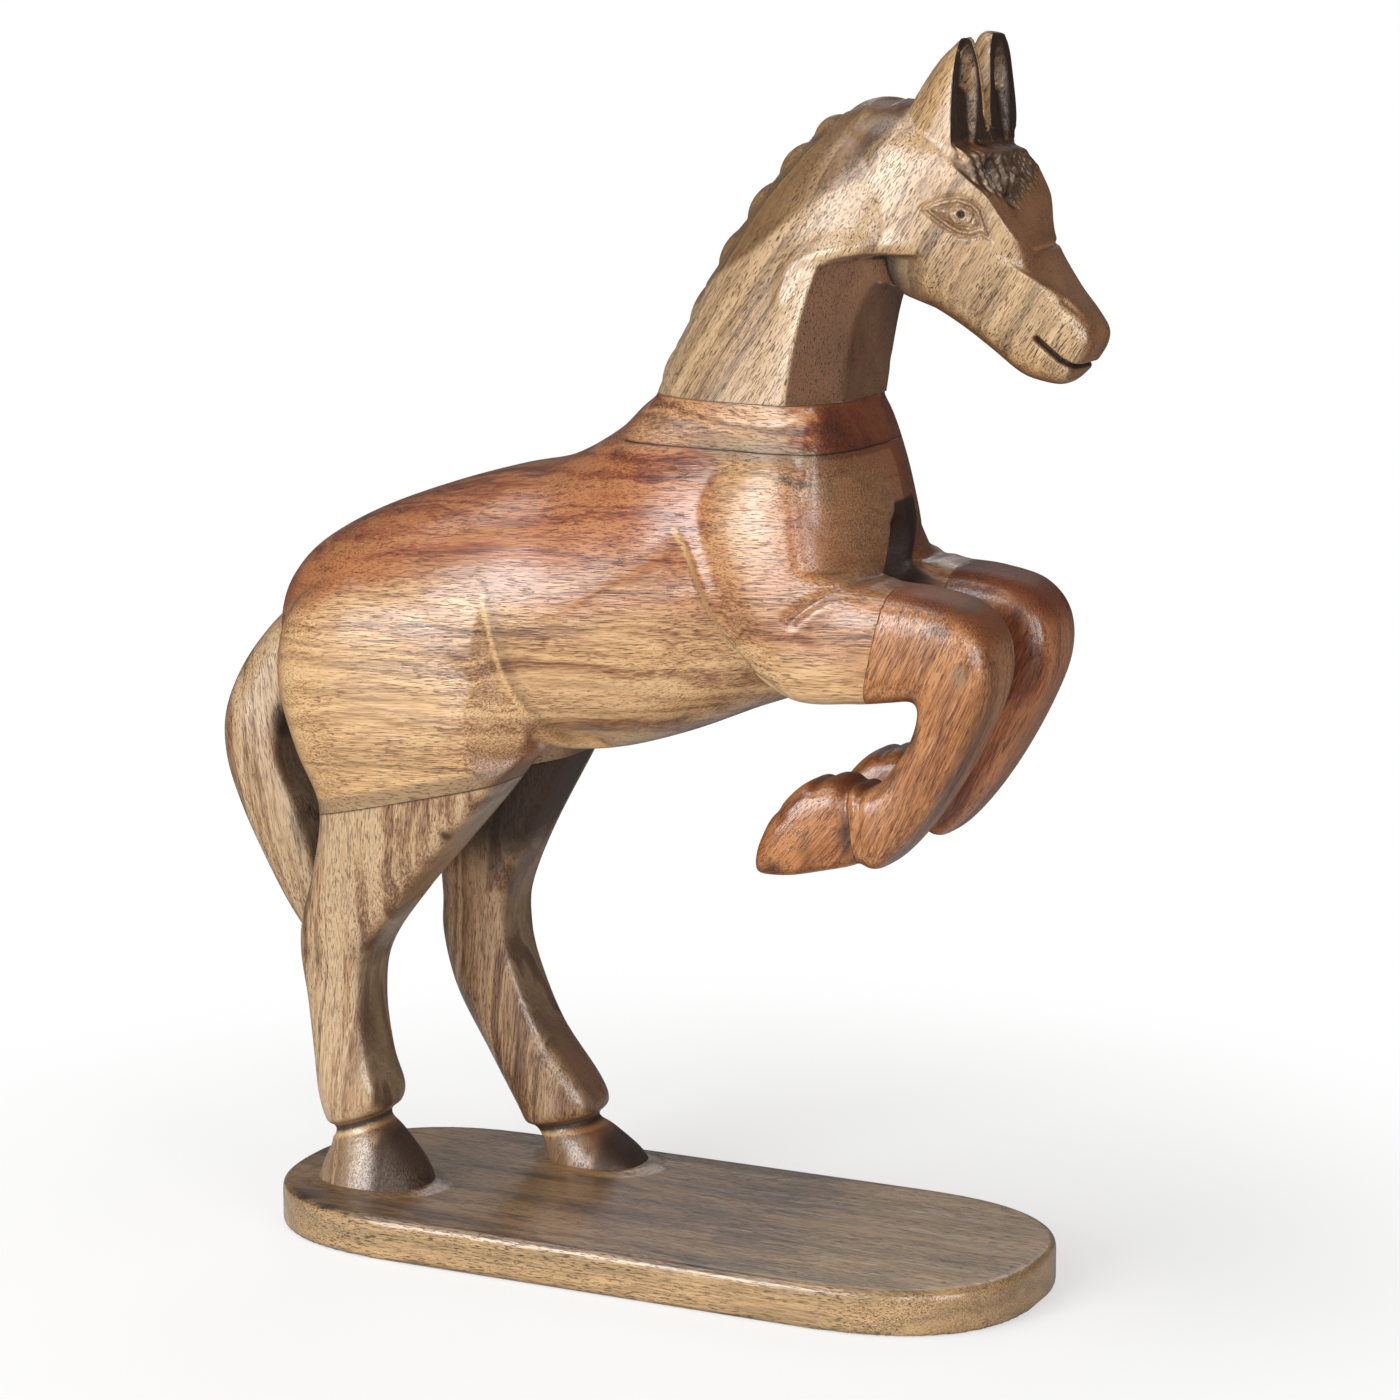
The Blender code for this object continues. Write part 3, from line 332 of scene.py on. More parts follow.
# Fineness: voxels in millimetres, and the eyes and mouth, where faces are cut into four, as (least x,
# lowest and highest height).
BODY_VOXEL = 1.05
NECK_VOXEL = 0.9
BOARD_VOXEL = 1.1
FINE_PARTS = [(99, 354, 396), (136, 312, 334)]
SHARP_EDGE = math.radians(48)
SMOOTH_STEPS = 5
BOARD_SMOOTH_STEPS = 2
AROUND = 72
STEPS_PER_SPAN = 8
BOX_MARGIN = np.array([0.01, 0.01, 0.001])
BORE_CLEARANCE = 0.3

# The floor: how wide it is and how far below the board, in millimetres. The lamps: where each one
# stands, its size, in metres, and its watts. The camera: its sensor in millimetres, and its focal
# length and the picture's width in pixels.
FLOOR_RADIUS = 3000.0
FLOOR_SIDES = 96
FLOOR_GAP = 0.3
LAMP_TARGET = (0, 0, 0.22)
LAMPS = [
    ("left_softbox", (-1.0, -2.15, 0.68), (0.75, 1.2), 33),
    ("middle_softbox", (-0.28, -2.35, 0.85), (0.35, 1.3), 13),
    ("front_softbox", (1.2, -2.2, 0.6), (0.4, 1.2), 13),
    ("overhead", (-0.9, -0.8, 2.2), (1.7, 1.5), 23),
    ("behind", (-0.5, 2.0, 1.5), (1.5, 1.0), 7),
    ("right_fill", (2.2, -1.4, 0.6), (0.9, 1.3), 27),
]
SENSOR_WIDTH = 36
FOCAL_LENGTH = 4000
PICTURE_WIDTH = 1400


def linear(colour):
    """An sRGB hex colour as linear red, green and blue."""
    parts = [int(colour[i : i + 2], 16) / 255 for i in (1, 3, 5)]
    return tuple(c / 12.92 if c <= 0.04045 else ((c + 0.055) / 1.055) ** 2.4 for c in parts)


def rise(low, high, value):
    """0 below low, 1 above high, and a smooth step between."""
    t = np.clip((value - low) / (high - low), 0, 1)
    return t * t * (3 - 2 * t)


def bump(value, width):
    """A bell of height 1 around 0."""
    return np.exp(-((value / width) ** 2))


def curve_through(rows, steps):
    """Catmull-Rom curve through the rows, with `steps` rows to each span."""
    rows = np.asarray(rows, float)
    padded = np.vstack([2 * rows[0] - rows[1], rows, 2 * rows[-1] - rows[-2]])
    t = np.linspace(0, 1, steps, endpoint=False)[None, :, None]
    p0, p1, p2, p3 = (padded[i : i + len(rows) - 1, None, :] for i in range(4))
    square, cube = 2 * p0 - 5 * p1 + 4 * p2 - p3, 3 * p1 - p0 - 3 * p2 + p3
    spans = 0.5 * (2 * p1 + (p2 - p0) * t + square * t**2 + cube * t**3)
    return np.vstack([spans.reshape(-1, rows.shape[1]), rows[-1:]])


def capped_tube(grid):
    """Faces for a grid of rings: quads between the rings and a fan of triangles on each end."""
    rows, around = grid.shape[:2]
    index = np.arange(rows * around).reshape(rows, around)
    turned = np.roll(index, -1, axis=1)
    quads = np.stack([index[:-1], index[1:], turned[1:], turned[:-1]], axis=-1).reshape(-1, 4)
    first, last = rows * around, rows * around + 1
    start = np.stack([index[0], turned[0], np.full(around, first)], axis=-1)
    end = np.stack([turned[-1], index[-1], np.full(around, last)], axis=-1)
    points = np.vstack([grid.reshape(-1, 3), grid[0].mean(0), grid[-1].mean(0)])
    return points, quads.tolist() + start.tolist() + end.tolist()


def form(rungs, side=1):
    """A loft: each ring is a superellipse from its A edge to its B edge.

    Across the rung a point lies at cos^(2/n), and sideways at sin^(2/n) of the half width, where n
    is the squareness, which may differ between the A half and the B half.
    """
    rows = curve_through(rungs, STEPS_PER_SPAN)
    xa, za, xb, zb, y, half, square_a, square_b, taper = rows.T[:, :, None]
    angle = np.linspace(0, 2 * math.pi, AROUND, endpoint=False)
    cos, sin = np.cos(angle), np.sin(angle)
    power = 2 / np.where(cos > 0, square_a, square_b)
    across = np.sign(cos) * np.abs(cos) ** power
    sideways = np.sign(sin) * np.abs(sin) ** power
    xs = (xa + xb) / 2 + (xa - xb) / 2 * across
    zs = (za + zb) / 2 + (za - zb) / 2 * across + BOARD_TOP
    ys = side * (y + half * sideways * (1 + taper * across))
    grid = np.stack([xs, ys, zs], axis=-1)
    return capped_tube(grid if side > 0 else grid[:, ::-1])


def ball(centre, along, across, outward):
    """An ellipsoid: the centre plus the three half axes times the sphere's x, y and z."""
    pole = 0.02
    tilt = np.linspace(pole, math.pi - pole, 20)[:, None]
    turn = np.linspace(0, 2 * math.pi, 32, endpoint=False)[None, :]
    level = np.sin(tilt)
    sphere = np.stack([level * np.cos(turn), level * np.sin(turn), np.cos(tilt) + 0 * turn], -1)
    return capped_tube(centre + sphere @ np.array([along, across, outward]))


def mane_locks():
    """Round locks along the crest, one between each pair of notches."""
    notches = np.array([(x, 0, z + BOARD_TOP) for x, z in MANE_NOTCHES], float)
    locks = []
    for start, end in zip(notches, notches[1:]):
        along = (end - start) / 2
        outward = np.array([-abs(along[2]), 0, abs(along[0])]) / np.linalg.norm(along)
        centre = (start + end) / 2 - outward * (MANE_DEPTH - MANE_BULGE)
        locks.append(ball(centre, along * MANE_OVERLAP, (0, MANE_HALF_WIDTH, 0), outward * MANE_DEPTH))
    return locks


def mesh_from(name, shapes):
    """One mesh from several (points in millimetres, faces)."""
    points, faces, count = [], [], 0
    for some, corners in shapes:
        points.append(np.asarray(some))
        faces += [[i + count for i in corner] for corner in corners]
        count += len(some)
    mesh = bpy.data.meshes.new(name)
    mesh.from_pydata((np.vstack(points) * MM).tolist(), [], faces)
    mesh.update()
    return mesh


def evaluated(obj):
    """The object's mesh with its modifiers applied; the object itself is removed."""
    bpy.context.view_layer.update()
    mesh = bpy.data.meshes.new_from_object(obj.evaluated_get(bpy.context.evaluated_depsgraph_get()))
    bpy.data.objects.remove(obj)
    return mesh


def merged(name, shapes, voxel, smooth_steps):
    """The shapes merged into one surface of even quads, a little softened."""
    obj = bpy.data.objects.new(name, mesh_from(name, shapes))
    bpy.context.scene.collection.objects.link(obj)
    merge = obj.modifiers.new("Merge forms", "REMESH")
    merge.mode = "VOXEL"
    merge.voxel_size = voxel * MM
    soften = obj.modifiers.new("Soften", "SMOOTH")
    soften.factor = 0.5
    soften.iterations = smooth_steps
    return evaluated(obj)


def read_points(mesh):
    """Vertex positions in millimetres and unit normals."""
    points = np.empty(len(mesh.vertices) * 3, np.float32)
    normals = np.empty(len(mesh.vertices) * 3, np.float32)
    mesh.vertices.foreach_get("co", points)
    mesh.vertex_normals.foreach_get("vector", normals)
    return points.reshape(-1, 3).astype(float) / MM, normals.reshape(-1, 3).astype(float)


def write_points(mesh, points):
    """Moves the mesh's vertices to the points, in millimetres."""
    mesh.vertices.foreach_set("co", (points * MM).astype(np.float32).ravel())
    mesh.update()


def neighbour_mean(mesh, points, rounds):
    """Each point moved to the mean of its neighbours, several times over."""
    edges = np.empty(len(mesh.edges) * 2, np.int32)
    mesh.edges.foreach_get("vertices", edges)
    a, b = edges.reshape(-1, 2).T
    ends, starts = np.concatenate([a, b]), np.concatenate([b, a])
    count = np.maximum(np.bincount(ends, minlength=len(points)), 1)
    for _ in range(rounds):
        points = np.stack([np.bincount(ends, points[starts, k], len(points)) / count for k in range(3)], 1)
    return points


def refine(mesh, inside):
    """Cuts the faces inside the region into four."""
    points, _ = read_points(mesh)
    chosen = inside(points)
    edit = bmesh.new()
    edit.from_mesh(mesh)
    edit.verts.ensure_lookup_table()
    edges = [e for e in edit.edges if chosen[e.verts[0].index] and chosen[e.verts[1].index]]
    bmesh.ops.subdivide_edges(edit, edges=edges, cuts=1, use_grid_fill=True)
    bmesh.ops.triangulate(edit, faces=[f for f in edit.faces if len(f.verts) > 4])
    edit.to_mesh(mesh)
    edit.free()
    mesh.update()


def line_distance(points, line, closed=False):
    """Distance in side view to a line, positive on its left, and the share of the way along it."""
    flat = points[:, [0, 2]]
    corners = np.asarray(line, float)
    if closed:
        corners = np.vstack([corners, corners[:1]])
    starts, run = corners[:-1], np.diff(corners, axis=0)
    lengths = np.linalg.norm(run, axis=1)
    offset = flat[:, None] - starts
    share = np.clip((offset * run).sum(2) / lengths**2, 0, 1)
    gap = np.linalg.norm(offset - share[..., None] * run, axis=2)
    pick = gap.argmin(1)
    rows = np.arange(len(flat))
    cross = run[pick, 0] * offset[rows, pick, 1] - run[pick, 1] * offset[rows, pick, 0]
    travelled = np.r_[0, np.cumsum(lengths)][pick] + share[rows, pick] * lengths[pick]
    return np.where(cross >= 0, 1, -1) * gap[rows, pick], travelled / lengths.sum()


def outline_distance(points, outline):
    """Distance in side view to a closed outline, positive inside it."""
    distance, _ = line_distance(points, outline, closed=True)
    x, z = points[:, 0], points[:, 2]
    corners = np.asarray(outline, float)
    inside = np.zeros(len(points), bool)
    for (x1, z1), (x2, z2) in zip(corners, np.roll(corners, -1, axis=0)):
        crosses = (z1 > z) != (z2 > z)
        inside ^= crosses & (x < (x2 - x1) * (z - z1) / (z2 - z1 + 1e-12) + x1)
    return np.where(inside, 1, -1) * np.abs(distance)


def plane_cut(points, through, normal, weight, softness=0.8):
    """Planes off what stands beyond a plane, with a slightly round edge."""
    normal = np.asarray(normal, float) / np.linalg.norm(normal)
    beyond = (points - np.asarray(through, float)) @ normal
    depth = 0.5 * (beyond + np.sqrt(beyond**2 + softness**2)) - 0.25 * softness * bump(beyond, 4 * softness)
    depth = np.maximum(depth, 0) * (beyond > -3 * softness)
    return points - normal * (depth * weight)[:, None]


def flank_ridge(points):
    """How far each point lies in front of the ridge between the flank's facet and the belly."""
    corners = np.array(FLANK_RIDGE[::-1], float)
    return points[:, 0] - np.interp(points[:, 2], corners[:, 1], corners[:, 0])


def carve_flank(points):
    """The hollow in front of the haunch: one planed facet on each side, that ends at the ridge."""
    behind = (1 - rise(-0.6, 0.6, flank_ridge(points))) * (points[:, 0] > -56)
    behind = behind * (points[:, 2] < 241) * rise(138, 152, points[:, 2])
    for way in (-1, 1):
        place = behind * (way * points[:, 1] > 12)
        points = plane_cut(points, (-50, way * 43.6, 205), (0.45, way * 0.89, -0.02), place, 0.5)
        corner = rise(190, 178, points[:, 2]) * rise(120, 146, points[:, 2]) * (way * points[:, 1] > 6)
        corner = corner * (points[:, 0] > -64) * (points[:, 0] < -10)
        points = plane_cut(points, (-51, way * 43.4, 175), (0.66, way * 0.75, 0.1), corner, 1.2)
    return points


def carve_belly(points, side):
    """The belly starts lower than the haunch and comes back to its full width further on."""
    ahead = flank_ridge(points)
    lower = 2.6 * rise(240, 192, points[:, 2]) * rise(-1, 1, ahead) * (1 - rise(2, 46, ahead))
    return -lower * side * (points[:, 2] > 176)


def carve_shoulder(points, side):
    """The crease behind the shoulder: a step up to a ridge with a shallow scoop beyond it."""
    distance, along = line_distance(points, SHOULDER_CREASE)
    ends = rise(0, 0.3, along) * (1 - 0.75 * rise(0.86, 1, along)) * (np.abs(distance) < 60)
    step = 3.0 * (1 - rise(0, 3.4, distance)) * np.exp(-np.clip(-distance, 0, None) / 20)
    scoop = 0.3 * np.sin(math.pi * np.clip((distance - 3.4) / 15, 0, 1)) ** 2
    return -(step + scoop) * ends * side


def ring_height(points, ring):
    """Height over the plane of a ring round a leg, which slopes up towards the front."""
    centre, slope = ring
    return points[:, 2] - centre[2] - (points[:, 0] - centre[0]) * math.tan(slope)


def ring_groove(points, ring, width, depth):
    """A groove round a leg, in the plane of its ring."""
    away = np.abs(points[:, :2] - np.array(ring[0][:2]))
    return -depth * bump(ring_height(points, ring), width) * (away < RING_REACH).all(1)


def carve_body(points, normals):
    """Moves the body's surface along its normals into its facets, creases and rings."""
    chest = rise(52, 64, points[:, 0]) * rise(248.5, 252, points[:, 2]) * (points[:, 0] < 110)
    chest = chest * (1 - rise(308, 316, points[:, 2]))
    for way, through, normal in CHEST_FACETS:
        points = plane_cut(points, through, normal, chest * rise(0, 8, way * points[:, 1]), 8)
    side = rise(0.2, 0.6, np.abs(normals[:, 1]))
    points = carve_flank(points)
    height = carve_belly(points, side) + carve_shoulder(points, side)
    breast, _ = line_distance(points, BREAST_CREASE)
    height -= 1.6 * bump(breast, 1.6) * rise(12, 20, np.abs(points[:, 1]))
    height += ring_groove(points, RIGHT_FETLOCK, 1.7, 1.0) + ring_groove(points, LEFT_FETLOCK, 1.6, 0.9)
    heel = bump(points[:, 2] - 33 - (points[:, 0] + 107) * 0.2, 1)
    height += 0.5 * heel * (points[:, 0] < -104) * (points[:, 1] < 0)
    for x, z, deep in HOOF_NOTCHES:
        height -= deep * bump(np.hypot(points[:, 0] - x, points[:, 2] - z), 2.2)
    wedge, along = line_distance(points, HOOF_WEDGE)
    height -= 1.1 * bump(wedge, 1.6 - 1.0 * along) * (1 - rise(0.9, 1, along)) * (points[:, 2] < 186)
    hollow = (1 - rise(0, 11, np.abs(points[:, 1] - 2))) * rise(269, 252, points[:, 2])
    moved = points + normals * height[:, None]
    moved[:, 0] -= 13 * hollow * (points[:, 2] > 225) * rise(70, 80, points[:, 0])
    return moved


def carve_eyes(points, normals):
    """Almond eyes in relief: a raised rim, an engraved line inside it, iris rings and a pupil."""
    outside = rise(0.35, 0.6, np.abs(normals[:, 1])) * (np.abs(points[:, 1]) > 8)
    edge = outline_distance(points, EYE_RIM) - 1.1
    radius = np.hypot(points[:, 0] - EYE_CENTRE[0], points[:, 2] - EYE_CENTRE[1])
    rim = 0.7 * bump(edge - 0.6, 0.6) - 0.8 * bump(edge + 0.6, 0.6)
    ball_height = 0.9 * rise(1.9, 4.6, edge) - 0.8 * bump(edge - 1.7, 0.5)
    rings = -0.6 * bump(radius - 4.2, 0.45) - 0.4 * bump(radius - 2.6, 0.4)
    pupil = -1.8 * bump(radius, 1.1)
    return (rim + ball_height + (rings + pupil) * rise(0.5, 1.5, edge)) * outside


def carve_ears(points):
    """Ears planed flat in front, then hollowed inside a thin rim, deepest above a small ledge."""
    z = points[:, 2]
    for way, through, normal in EAR_FACETS:
        normal = np.asarray(normal) / np.linalg.norm(normal)
        ear = rise(386, 390, z) * (way * points[:, 1] > 0)
        points = plane_cut(points, through, normal, ear, 0.5)
        across = np.array([-normal[1], normal[0], 0])
        offset = points - through
        centre = EAR_CENTRES[way]
        half = np.interp(z, [385, 393, 404, 414, 421.5], [1, 4.2, 5.6, 4.8, 1.2])
        share = np.abs(offset @ across - centre) / half
        depth = np.interp(z, [386, 394, 405.5, 407.5, 418, 422], [0.3, 2, 3.2, 6, 4, 0.3])
        front = rise(-3, -1, offset @ normal)
        points = points - normal * (depth * (1 - rise(0.55, 0.9, share)) * front * ear)[:, None]
    return points


def rough(points, size):
    """Small uneven tool marks: a product of slanted waves."""
    x, y, z = (points / size).T
    first, second = np.sin(1.9 * y + 0.7 * z + 0.4 * x), np.sin(1.3 * z - 0.9 * y + 0.8 * x)
    return first * second * np.sin(0.6 * y + 1.7 * z)


def carve_forelock(points, normals):
    """Uneven strands from between the ears down to a point on the forehead, with holes beside them."""
    front = rise(0.1, 0.4, normals[:, 0]) * (points[:, 0] > 98)
    y, z = points[:, 1], points[:, 2]
    way = np.clip((394 - z) / 21, 0, 1.2)
    height = np.zeros(len(points))
    for start, tip, tall in FORELOCK_STRANDS:
        middle = start + (tip - start) * way
        width = 2.5 * (1 - 0.55 * np.clip(way, 0, 1))
        height += tall * bump(y - middle, width) * (1 - rise(0.8, 1.04, way)) * rise(-0.1, 0.15, way)
    for hole_y, hole_z, deep in FORELOCK_HOLES:
        height -= deep * bump(y - hole_y, 1.8) * bump(z - hole_z, 2.6)
    patch = rise(366, 372, z - 0.4 * np.abs(y + 7)) * (1 - rise(390, 396, z))
    strands = np.sin(2.6 * y + 0.5 * z + 1.4 * np.sin(0.3 * z + 0.5 * y)) + 1.4 * rough(points, 1.2)
    return (height + 0.42 * patch * strands) * front


def carve_mane(points):
    """Each lock stands a little over the one below it and fades out down the side of the neck."""
    crest = [(x, z + BOARD_TOP) for x, z in MANE_NOTCHES]
    lengths = np.r_[0, np.cumsum([math.dist(a, b) for a, b in zip(crest, crest[1:])])]
    distance, along = line_distance(points, crest)
    travelled = along * lengths[-1] - 0.35 * np.abs(points[:, 1])
    lock = np.clip(np.searchsorted(lengths, travelled, side="right") - 1, 0, len(crest) - 2)
    share = np.clip((travelled - lengths[lock]) / np.diff(lengths)[lock], 0, 1)
    near = 1 - rise(4, 19, np.hypot(distance, points[:, 1]))
    return 1.5 * (share**1.5 - 0.45) * near * (along > 0.02) * (along < 0.985)


def bridge_line(points, normals, width):
    """1 along the groove across the bridge of the nose, falling to 0 over the width."""
    x, y, z = points.T
    place = rise(0.3, 0.45, normals[:, 0]) * (x > 125) * (y > -9) * (y < 17)
    return bump(z - 356.2 - 0.04 * y, width) * place


def carve_neck(points, normals):
    """Moves the neck's and head's surface into facets, eyes, mouth, ears, forelock and mane."""
    x, y, z = points.T
    cheek = np.interp(x, *np.array(CHEEK_LINE).T)
    throat = (1 - rise(-3.6, 0.6, z - cheek)) * rise(45, 55, x) * (x < 104) * (y < 0)
    brow = rise(346, 352, z) * (1 - rise(380, 388, z)) * rise(100, 106, x)
    nose = rise(118, 128, x) * (1 - rise(349, 360, z))
    foot = rise(60, 66, x) * (x < 100) * (1 - rise(308, 318, z))
    bridge = bridge_line(points, normals, 0.8)
    facets = (THROAT_FACET, FOREHEAD_FACET, BROW_FACET, NOSE_FACET, NOSE_TIP_FACET, CHEST_FACETS[1][1:])
    for facet, region in zip(facets, (throat, brow, brow, nose, rise(146, 152, x), foot)):
        points = plane_cut(points, *facet, region, 0.7)
    side = rise(0.3, 0.6, np.abs(normals[:, 1]))
    height = carve_eyes(points, normals) + carve_forelock(points, normals) + carve_mane(points)
    mouth, _ = line_distance(points, MOUTH)
    height -= 2.4 * bump(mouth, 0.8)
    lip, _ = line_distance(points, CHEEK_LINE)
    height += 1.3 * bump(lip - 2.4, 3) * side * (y < 0) * rise(54, 60, x) * (1 - rise(90, 104, x))
    nostril, _ = line_distance(points, NOSTRIL)
    height -= 0.8 * bump(nostril, 1.2) * side
    height -= 0.9 * bridge
    return carve_ears(points + normals * height[:, None])


def inset(outline, distance):
    """The outline with each edge moved inward by the distance, as an array."""
    corners = np.asarray(outline, float)
    run = np.roll(corners, -1, axis=0) - corners
    area = (corners[:, 0] * np.roll(corners[:, 1], -1) - np.roll(corners[:, 0], -1) * corners[:, 1]).sum()
    along = run / np.linalg.norm(run, axis=1)[:, None]
    inward = np.stack([-along[:, 1], along[:, 0]], 1) * np.sign(area)
    on_line = corners + inward * distance
    before, way = np.roll(on_line, 1, axis=0), np.roll(along, 1, axis=0)
    gap = on_line - before
    cross = way[:, 0] * along[:, 1] - way[:, 1] * along[:, 0]
    step = (gap[:, 0] * along[:, 1] - gap[:, 1] * along[:, 0]) / cross
    return before + way * step[:, None]


def prism(name, outline, low, high, lengthwise=False, margin=SEAM):
    """A straight block over a side outline of (x, height), or of (y, height) where lengthwise."""
    corners = inset(outline, margin)
    count = len(corners)
    height = corners[:, 1] + BOARD_TOP
    ends = []
    for place in (low, high):
        across = np.full(count, float(place))
        first, second = (across, corners[:, 0]) if lengthwise else (corners[:, 0], across)
        ends.append(np.stack([first, second, height], 1))
    sides = [[i, (i + 1) % count, count + (i + 1) % count, count + i] for i in range(count)]
    caps = [list(range(count))[::-1], list(range(count, 2 * count))]
    mesh = mesh_from(name, [(np.vstack(ends), sides + caps)])
    edit = bmesh.new()
    edit.from_mesh(mesh)
    bmesh.ops.recalc_face_normals(edit, faces=edit.faces)
    edit.to_mesh(mesh)
    edit.free()
    return mesh


def bore(node):
    """The hole round a dowel or screw: its solid, wider and longer by the clearance."""
    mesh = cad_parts[node].data
    points, _ = read_points(mesh)
    middle = (points.max(0) + points.min(0)) / 2
    axis = np.linalg.svd(points - points.mean(0), full_matrices=False)[2][0]
    along = (points - middle) @ axis
    sideways = points - middle - along[:, None] * axis
    radius = np.linalg.norm(sideways, axis=1)
    wide = 1 + BORE_CLEARANCE / np.maximum(radius, 1e-6) * (radius > 0.1)
    along = along * (1 + BORE_CLEARANCE / np.abs(along).max())
    copy = mesh.copy()
    write_points(copy, middle + sideways * wide[:, None] + along[:, None] * axis)
    edit = bmesh.new()
    edit.from_mesh(copy)
    bmesh.ops.remove_doubles(edit, verts=edit.verts, dist=1e-6)
    edit.to_mesh(copy)
    edit.free()
    return copy


def cut_block(name, figure, stock, holes):
    """The carved surface inside its stock, less the holes, as one mesh."""
    obj = bpy.data.objects.new(name + "_cut", figure.copy())
    scene = bpy.context.scene.collection
    scene.objects.link(obj)
    tools = []
    for operation, mesh in [("INTERSECT", stock)] + [("DIFFERENCE", hole) for hole in holes]:
        tool = bpy.data.objects.new(name + "_tool", mesh)
        scene.objects.link(tool)
        tools.append(tool)
        boolean = obj.modifiers.new("Cut", "BOOLEAN")
        boolean.operation = operation
        boolean.solver = "MANIFOLD"
        boolean.object = tool
    mesh = evaluated(obj)
    for tool in tools:
        bpy.data.objects.remove(tool)
    return mesh


def block_outlines():
    """Side outlines of the blocks, as in the solid model."""

    def hip(x):
        """The point of the hip joint at this x."""
        return (x, HIND_JOINT[1] + (x - HIND_JOINT[0]) * math.tan(HIND_JOINT[2]))

    def lean(joint, height):
        """The point of a leaning joint at this height."""
        return (joint[0] + (height - joint[1]) * math.tan(joint[2]), height)

    fore_foot, fore_top = lean(FORE_JOINT, 194.5), lean(FORE_JOINT, 250)
    hoof_foot, hoof_top = lean(HOOF_JOINT, 116.5), lean(HOOF_JOINT, 175.5)
    tail_foot, under_rump = (TAIL_JOINT_X, 166), (-136, 152)
    hock_high, hock_low, behind_tail = (-128.5, 112), (-130.5, 70), (-200, 62)
    below_stifle = (-34, 148)
    rear, front, top, floor = -60, 200, 450, 0.15
    return {
        "trunk": [
            (TAIL_JOINT_X, WITHERS_FOOT), tail_foot, under_rump, hip(-130), hip(-38), below_stifle,
            (40, 148), (45, 179.5), (88, 179.5), fore_foot, fore_top, (fore_top[0], WITHERS_FOOT),
        ],
        "withers": [(rear, WITHERS_FOOT), (95, WITHERS_FOOT), (95, NECK_JOINT), (rear, NECK_JOINT)],
        "neck": [(rear, NECK_JOINT), (front, NECK_JOINT), (front, top), (rear, top)],
        "tail": [
            (TAIL_JOINT_X, top), (-200, top), behind_tail, hock_low, hock_high, hip(-130), under_rump,
            tail_foot,
        ],
        "hind": [
            hip(-130), hock_high, hock_low, behind_tail, (-200, floor), (20, floor), (20, 130),
            below_stifle, hip(-38),
        ],
        "fore": [fore_foot, (88, 179.5), hoof_top, hoof_foot, (front, 116.5), (front, 250), fore_top],
        "hoof": [hoof_top, (30, 175.5), (30, 116.5), hoof_foot],
    }


def shade(mesh, name, values):
    """Stores one number a vertex, for the material to read."""
    attribute = mesh.attributes.get(name) or mesh.attributes.new(name, "FLOAT", "POINT")
    attribute.data.foreach_set("value", np.asarray(values, np.float32))


def show(node, mesh, material):
    """Puts a finished mesh in the scene in the place of its solid node, inside the solids' box."""
    low, high = (np.array(corner) / MM for corner in CAD_BOX)
    points, _ = read_points(mesh)
    write_points(mesh, np.clip(points, low + BOX_MARGIN, high - BOX_MARGIN))
    mesh.materials.clear()
    mesh.materials.append(material)
    mesh.shade_smooth()
    mesh.set_sharp_from_angle(angle=SHARP_EDGE)
    obj = bpy.data.objects.new(node + "_carved", mesh)
    bpy.context.scene.collection.objects.link(obj)
    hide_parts(node)
    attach(obj, "root")


def add(tree, kind, inputs=(), output=0, **settings):
    """Adds a shader node, with its inputs in order or by name as values or links; gives an output."""
    node = tree.nodes.new("ShaderNode" + kind)
    for key, value in settings.items():
        setattr(node, key, value)
    for key, value in inputs.items() if isinstance(inputs, dict) else enumerate(inputs):
        if isinstance(value, bpy.types.NodeSocket):
            tree.links.new(value, node.inputs[key])
        else:
            node.inputs[key].default_value = value
    return node.outputs[output]


def new_material(name):
    """A new material, its node tree and its shader."""
    material = bpy.data.materials.new(name)
    material.use_nodes = True
    tree = material.node_tree
    return material, tree, tree.nodes["Principled BSDF"]


def grain_colours(tree, grain, tones):
    """The wood's colours along its grain value, through (place, hex colour)."""
    colour = add(tree, "ValToRGB", [grain])
    elements = colour.node.color_ramp.elements
    while len(elements) < len(tones):
        elements.new(0.5)
    for element, (place, tone) in zip(elements, tones):
        element.position = place
        element.color = (*linear(tone), 1)
    return colour


# Settings that the shader nodes share.
SMOOTH = {"interpolation_type": "SMOOTHSTEP"}
SUM = {"operation": "MULTIPLY_ADD"}
TIMES = {"operation": "MULTIPLY"}
COLOUR = {"data_type": "RGBA", "output": "Result"}

# Sizes of the grain in millimetres, as (length along the fibres, width across them), and how far
# apart the growth bands are.
ZONES = (150, 26)
WAVER = (60, 12)
FIBRES = (16, 0.6)
PORE_WIDTH = 0.32
BAND_SPACING = 4.762
BAND_WAVER = 16
PITH_STRETCH = 0.04

# Mango has a wide range of browns. Each is five tones from dark fibres over pale ones to a dark band.
TAN_TONES = [(0.36, "#422a18"), (0.44, "#815938"), (0.5, "#ab8459"), (0.57, "#c3a073"), (0.66, "#7c5838")]
RED_TONES = [(0.36, "#2c0f07"), (0.44, "#5e2a14"), (0.5, "#844726"), (0.57, "#a76d40"), (0.66, "#50220f")]
NECK_TONES = [(0.36, "#5c4631"), (0.44, "#8f7353"), (0.5, "#a68966"), (0.57, "#b29774"), (0.66, "#86684a")]
GOLD_TONES = [(0.36, "#453019"), (0.44, "#72512e"), (0.5, "#936e42"), (0.57, "#a88354"), (0.66, "#694a29")]
LEG_TONES = [(0.36, "#3d2919"), (0.44, "#78563b"), (0.5, "#9f805d"), (0.57, "#b59b79"), (0.66, "#73553b")]
